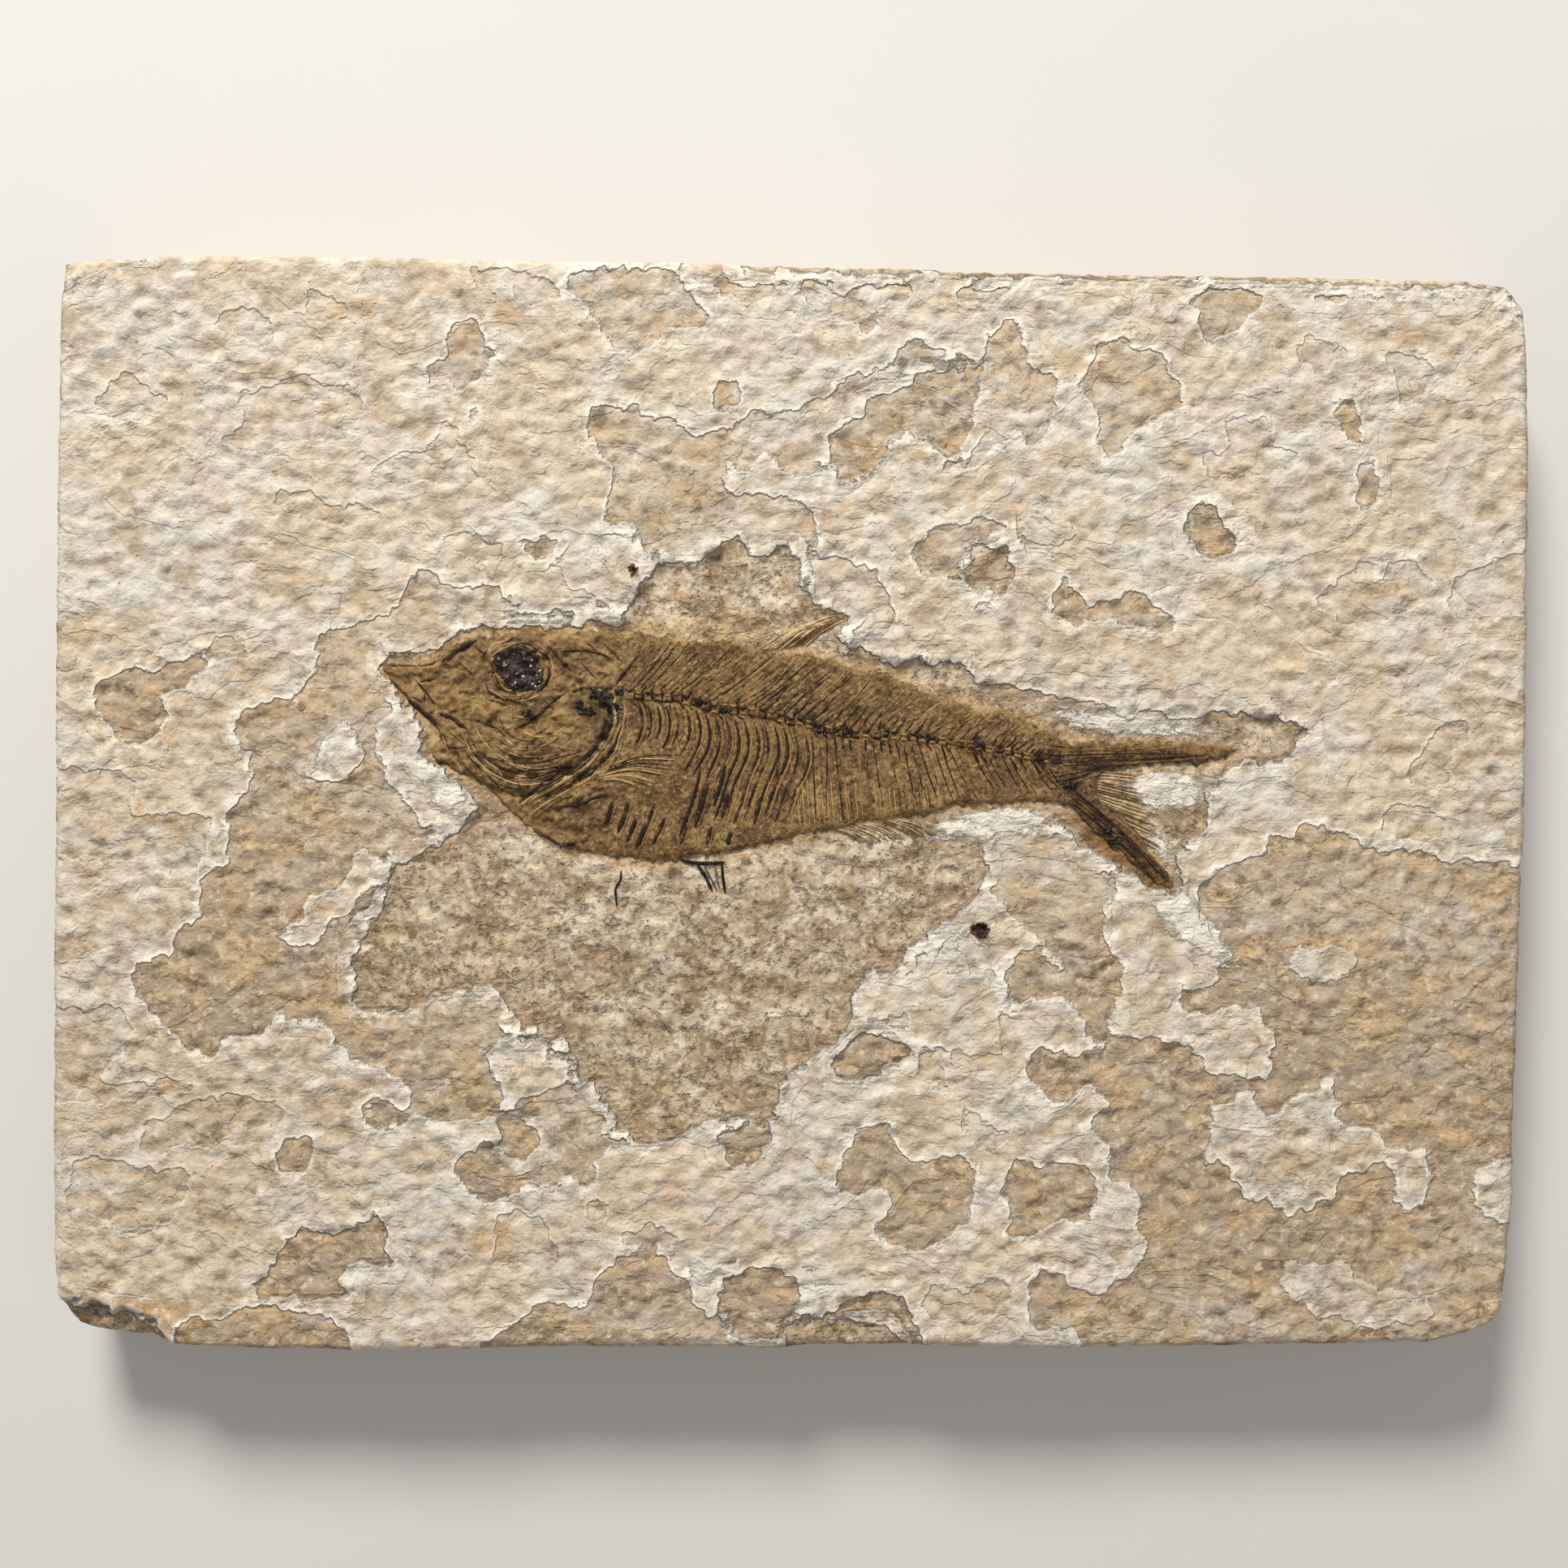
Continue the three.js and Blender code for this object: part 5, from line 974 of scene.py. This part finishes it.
def eye_ring():
    """The worn bony ring round the eye, in overlapping pieces."""
    low, high = (np.array(v[:2]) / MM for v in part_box("eye"))
    middle, radii = (low + high) / 2, (high - low) / 2
    lines = []
    for grown, shade in ((0.15, 0.0), (0.4, 0.7), (0.7, 0.3), (1.0, 0.6)):
        for start in range(0, 360, 60):
            sweep = np.linspace(start, start + rng.uniform(25, 60), 4) + rng.uniform(0, 40)
            piece = arc(middle, radii + grown + rng.normal(0, 0.12), sweep) + rng.normal(0, 0.05, (4, 2))
            half, rise = rng.uniform(0.07, 0.13), rng.uniform(0.05, 0.11)
            lines.append((piece, half, rise, shade + rng.uniform(-0.3, 0.4)))
    return lines


def torn_patch(grid, spots, seed):
    """How far inside a group of torn-edged spots each point lies, from 0 to 1."""
    field = np.zeros(grid.x.shape)
    for x, y, rx, ry in spots:
        field = np.maximum(field, grid.blob(x, y, rx, ry))
    return smooth(field * (1 + 0.5 * grid.noise(seed, 0.5, 0.4)), 0.2, 0.45)


def crystal_mesh(places, height_at):
    """Small uneven crystals: each place is (x, y, radius)."""
    points, faces, sides = [], [], 9
    for x, y, radius in places:
        first = len(points)
        base = float(height_at(np.array([x]), np.array([y]))[0])
        for ring, (reach, up) in enumerate(((1.0, -0.15), (0.72, 0.65), (0.32, 1.0))):
            for k in range(sides):
                turn = 2 * math.pi * (k + 0.5 * ring) / sides
                out = radius * reach * rng.uniform(0.8, 1.2)
                rise = 0.1 * (up + rng.uniform(-0.12, 0.12))
                points.append((x + out * math.cos(turn), y + out * math.sin(turn), base + rise))
        for ring in (0, sides):
            for k in range(sides):
                a, b = first + ring + k, first + ring + (k + 1) % sides
                faces.append((a, b, b + sides, a + sides))
        faces.append(tuple(first + 2 * sides + k for k in range(sides)))
        faces.append(tuple(first + k for k in reversed(range(sides))))
    return points, faces


# The film's own surface: crumpled, thicker over the head, stained round the bones, and with painted shade in
# broad patches over the head.
for line, half, darkness, _ in HEAD_LINES:
    fish.stroke(ink, smooth_line(line, 0.4), max(0.2, 1.3 * half), 0.55 * darkness)
for line in BELLY_RIB_ENDS:
    fish.stroke(ink, smooth_line(line, 0.4), 0.3, 0.5)
fish.stroke(ink, smooth_line(BACKBONE, 0.4), 0.55, 0.4)
fish.stroke(ink, smooth_line(GIRDLE, 0.4), 0.7, 0.35)
for x, y, rx, ry in KNOTS:
    ink = np.maximum(ink, fish.blob(x, y, 1.3 * rx, 1.3 * ry))
# Painted shade: broad dark patches along the head's top and back margin, under the cheek and at the jaw.
ink += fish.spots((0.4, -19, 12.7, 3.6, 1.4, -12), (0.4, -28.6, 13.4, 2.4, 0.9, 35),
                  (0.4, -31.4, 7.6, 2.6, 0.9, -45), (0.4, -20.6, 2.4, 4.2, 1.2, 18),
                  (0.4, -26, 3.2, 3, 1.2, -40), (0.4, -16.6, 7.4, 1.4, 2.6), (0.4, -23.8, 14.2, 3, 0.7),
                  (0.4, -22.4, 9.2, 2.4, 1, 10), (0.4, -17.4, -1.2, 3, 1.6, -30))
ink += 0.4 * smooth(fish.x, 20, 26) + 0.3 * smooth(fish.noise(27, 2.6, 0.8), 0.4, 1.8)
ink = np.clip(ink, 0, 1.1)
pale = fish.spots((0.9, -32.2, 12.1, 2, 0.4), (0.5, -20, 14.4, 8, 0.5),
                  (0.4, -29, 8.5, 3, 2), (0.35, -20, 6, 4, 2))

# The body is finely rough, and the head is crumpled like paper: winding ridges of two sizes.
head_zone = smooth(-fish.x, 14.5, 15.5)
crumple = (0.024 - 0.014 * head_zone) * fish.noise(24, 0.9, 0.9) + 0.03 * fish.noise(26, 2.2, 1.0)
crumple += (0.018 - 0.01 * head_zone) * fish.noise(25, 0.35, 0.8) + 0.1 * head_zone * fish.noise(30, 1.7, 3.2)
crumple -= head_zone * (0.11 * abs(fish.noise(48, 1.7, 2.6)) + 0.045 * abs(fish.noise(49, 0.8, 2.4)) - 0.12)
folds = np.zeros(fish.x.shape)
for line, half, rise in cheek_folds():
    fish.stroke(folds, smooth_line(line, 0.4), half, rise)
fish_top = BED + 0.04 + (0.21 + crumple + folds) * film_soft
# The stone never shows through the film, except at its ragged edge.
fish_top = np.maximum(fish_top, stone.sample(stone_top, fish.x, fish.y) + 0.03 - 0.4 * (1 - film_soft))


def build_film():
    """The brown film of the fish, in the same four parts as its CAD solids."""
    x = fish.x[:-1, :-1]
    tail_up = grow(footprint("tail_fin_upper"), 5)[:-1, :-1] & (x > 24.3)
    tail_low = grow(footprint("tail_fin_lower"), 5)[:-1, :-1] & (x > 24.3) & ~tail_up
    head = grow(footprint("skull"), 4)[:-1, :-1] & ~footprint("body_film")[:-1, :-1] & (x < -13.5)
    trunk = ~head & ~tail_up & ~tail_low
    cells, material = cells_of(film_area), film_material()
    for name, part, node in (("fish_head", head, "skull"), ("fish_trunk", trunk, "body_film"),
                             ("tail_upper_lobe", tail_up, "tail_fin_upper"),
                             ("tail_lower_lobe", tail_low, "tail_fin_lower")):
        relief_piece(name, fish, cells & part, fish_top, material, [node],
                     {"ink": ink, "pale": pale, "head": head_zone})


def add_bones(name, lines, material, replaced, height_at):
    points, faces, shade = bone_mesh(lines, height_at)
    add_piece(name, points, faces, material, replaced, {"shade": shade})


def on_fish(lines):
    kept = [(inside_film(line), half, rise, shade) for line, half, rise, shade in lines]
    return [row for row in kept if len(row[0]) > 2]


def nodes_named(prefix):
    return [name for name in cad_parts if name.startswith(prefix)]


def build_bones():
    dark = bone_material("dark_rib_bone", (46, 31, 22), (164, 128, 80), 0.6)
    tan = bone_material("brown_bone", (54, 38, 24), (198, 164, 112), 0.55)
    black = bone_material("black_bone", (28, 24, 24), (118, 104, 92), 0.5)
    fin = bone_material("fin_ray_bone", (112, 82, 46), (226, 202, 160), 0.6)
    head = [(line, half, rise + 0.05, 0.55 * (1 - darkness)) for line, half, darkness, rise in HEAD_LINES]
    for name, lines, material, replaced in (
            ("ribs", on_fish(ribs()), dark, nodes_named("rib_")),
            ("belly_rib_ends", belly_rib_ends(), dark, nodes_named("belly_rib_")),
            ("vertebrae", vertebrae(), dark, ["backbone"]),
            ("shoulder_girdle_bone", girdle(), tan, ["shoulder_girdle"]),
            ("neural_spines", on_fish(neural_spines()), dark, []),
            ("back_supports", on_fish(back_supports()), tan, []),
            ("haemal_spines", on_fish(haemal_spines()), dark, []),
            ("fine_bones", on_fish(fine_bones()), tan, []),
            ("belly_rays", on_fish(belly_rays()), tan, []),
            ("skull_bones", head, dark, []),
            ("skull_creases", on_fish(cheek_creases()), tan, []),
            ("eye_socket", eye_ring(), tan, []),
            ("tail_rays", on_fish(tail_rays()), dark, [])):
        add_bones(name, lines, material, replaced, on_film)

    pectoral = fan([(-16.9, 2.5), (-16.9, 2.0)], [(-9.3, 4.1), (-12.6, 1.0)], 13, 0.075, 0.09, (0.1, 1), 0.09)
    dorsal = fan([(-3, 13.2), (1.2, 13.6)], [(2.9, 16.2), (4.7, 16.2)], 13, 0.09, 0.07, (0, 1), 0.05)
    anal = fan([(3.4, -2.2), (9.6, -1.3)], [(6.2, -3.5), (12.6, -2.5)], 22, 0.05, 0.04, (0.1, 0.8), 0.05)
    web = fan([(25.2, 2.9), (27.0, -1.2)], [(29.8, 2.6), (32.2, -4.2)], 18, 0.06, 0.05, (0.1, 0.9))
    pelvic = [([(-9.6, -4.9), (-8.5, -5.15), (-7, -5.2), (-5.7, -5.1)], 0.17, 0.12, 0),
              ([(-8.2, -5.2), (-7.5, -6.2), (-6.8, -7.7)], 0.16, 0.1, 0.1),
              ([(-7.6, -5.3), (-7, -6.4), (-6.4, -7.6)], 0.08, 0.08, 0.6),
              ([(-6, -5.1), (-5.9, -6.4), (-5.7, -7.8)], 0.13, 0.1, 0.1),
              ([(-6.6, -5.2), (-6.5, -6.2), (-6.2, -7.4)], 0.07, 0.08, 0.9)]
    ray = [([(-14.7, -5.7), (-14.8, -6.7), (-15.2, -7.4), (-15.1, -9)], 0.1, 0.09, 0.1)]
    add_bones("pectoral_fin_rays", pectoral, tan, ["pectoral_fin"], on_film)
    add_bones("dorsal_fin_rays", dorsal, fin, ["dorsal_fin"], on_stone)
    add_bones("anal_fin_rays", anal, fin, ["anal_fin"], on_stone)
    add_bones("tail_web_rays", web, fin, [], on_stone)
    add_bones("pelvic_fin_rays", pelvic, black, ["pelvic_fin"], on_stone)
    add_bones("loose_fin_ray", ray, black, ["loose_ray"], on_stone)


def build_knots():
    """The black knots along the backbone and on the head."""
    knots = torn_patch(fish, KNOTS, 41)
    top = fish_top - 0.03 + (0.14 + 0.04 * fish.noise(42, 0.35, 0.4)) * knots
    shade = 0.5 * smooth(fish.noise(43, 0.4, 0.4), 0.3, 1.6) + 0.6 * (1 - knots)
    material = bpy.data.materials["black_bone"]
    relief_piece("bone_knots", fish, cells_of(knots > 0.05), top, material, [], {"shade": shade})


def build_eye():
    """The black eye, cracked across, with white crystals in it."""
    shape = grow(footprint("eye"), 2)
    soft = smooth(fish.blur(shape.astype(float), 0.2), 0.4, 0.95)
    crack = np.zeros(fish.x.shape)
    fish.stroke(crack, smooth_line([(-24.4, 10.7), (-23.8, 10.2), (-23.2, 9.7)], 0.3), 0.1, 1)
    top = fish_top + 0.13 * soft + 0.02 * fish.noise(28, 0.5, 0.6) * soft - 0.12 * crack
    shade = 0.5 * smooth(fish.noise(29, 0.6, 0.5), 0.2, 1.4) + 0.5 * crack
    black = bone_material("eye_black", (40, 31, 31), (136, 108, 88), 0.45)
    relief_piece("eye_lens", fish, cells_of(shape), top, black, ["eye"], {"shade": shade})

    low, high = (np.array(v[:2]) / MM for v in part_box("eye"))
    places = []
    while len(places) < 20:
        x, y = rng.uniform(low, high)
        if fish.sample(soft, np.array([x]), np.array([y]))[0] > 0.9:
            places.append((x, y, rng.uniform(0.05, 0.12)))
    points, faces = crystal_mesh(places, lambda x, y: fish.sample(top, x, y))
    white = bone_material("white_mineral", (206, 190, 164), (244, 238, 226), 0.5)
    add_piece("eye_crystals", points, faces, white, [], {"shade": np.ones(len(points))})


def build_chips():
    """The two torn chips of black bone that lie on the stone, rusty at their edges."""
    rusty = bone_material("rusty_bone", (27, 23, 24), (122, 80, 48), 0.45)
    for node in ("bone_chip_upper", "bone_chip_lower"):
        low, high = (np.array(v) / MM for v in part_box(node))
        chip = Grid(low[0] - 0.3, low[1] - 0.3, high[0] + 0.3, high[1] + 0.3, 0.05)
        shape = (chip.heights(node, BED) > 0).astype(float)
        torn = [0.2 * chip.noise(seed, 0.5, 0.3) for seed in (44, 45)]
        shape = chip.sample(shape, chip.x + torn[0], chip.y + torn[1])
        soft = smooth(chip.blur(shape, 0.07), 0.3, 0.8)
        top = on_stone(chip.x, chip.y) - 0.04 + (0.17 + 0.05 * chip.noise(46, 0.3, 0.4)) * soft
        shade = 1.1 * (1 - soft) + 0.3 * smooth(chip.noise(47, 0.3, 0.4), 0.5, 1.5)
        relief_piece(node + "_bone", chip, cells_of(soft > 0.02), top, rusty, [node],
                     {"shade": shade})


build_film()
build_bones()
build_knots()
build_eye()
build_chips()


# ---------------------------------------------------------------- floor, light and camera

def add_floor():
    half = 2.0
    mesh = bpy.data.meshes.new("floor")
    corners = [(-half, -half, 0), (half, -half, 0), (half, half, 0), (-half, half, 0)]
    mesh.from_pydata(corners, [], [(0, 1, 2, 3)])
    mesh.materials.append(floor_material())
    floor = bpy.data.objects.new("floor", mesh)
    bpy.context.scene.collection.objects.link(floor)


def add_area_light(name, place, target, size, power, tint=(1, 1, 1)):
    data = bpy.data.lights.new(name, "AREA")
    data.shape = "DISK"
    data.size = size
    data.energy = power
    data.color = tint
    lamp = bpy.data.objects.new(name, data)
    lamp.location = place
    lamp.rotation_euler = (Vector(target) - Vector(place)).to_track_quat("-Z", "Y").to_euler()
    bpy.context.scene.collection.objects.link(lamp)


def add_camera():
    distance, view_width, sensor = 0.150, 0.13524, 36.0
    data = bpy.data.cameras.new("camera")
    data.sensor_width = sensor
    data.lens = sensor * distance / view_width
    data.clip_start = 0.01
    camera = bpy.data.objects.new("camera", data)
    camera.location = (-0.0006, 0.00168, FACE * MM + distance)
    bpy.context.scene.collection.objects.link(camera)
    bpy.context.scene.camera = camera


def add_world():
    world = bpy.data.worlds.new("studio")
    world.use_nodes = True
    world.node_tree.nodes["Background"].inputs["Color"].default_value = (1.0, 0.98, 0.95, 1)
    world.node_tree.nodes["Background"].inputs["Strength"].default_value = 0.3
    bpy.context.scene.world = world


add_floor()
add_world()
add_area_light("key", (-0.135, 0.54, 0.385), (0, 0, 0.01), 0.2, 5.1, (1.0, 0.97, 0.92))
add_area_light("fill", (0.25, -0.35, 0.5), (0, 0, 0.01), 0.5, 0.3, (1.0, 0.98, 0.95))
add_camera()
bpy.context.scene.view_settings.view_transform = "Standard"
bpy.context.scene.view_settings.look = "None"
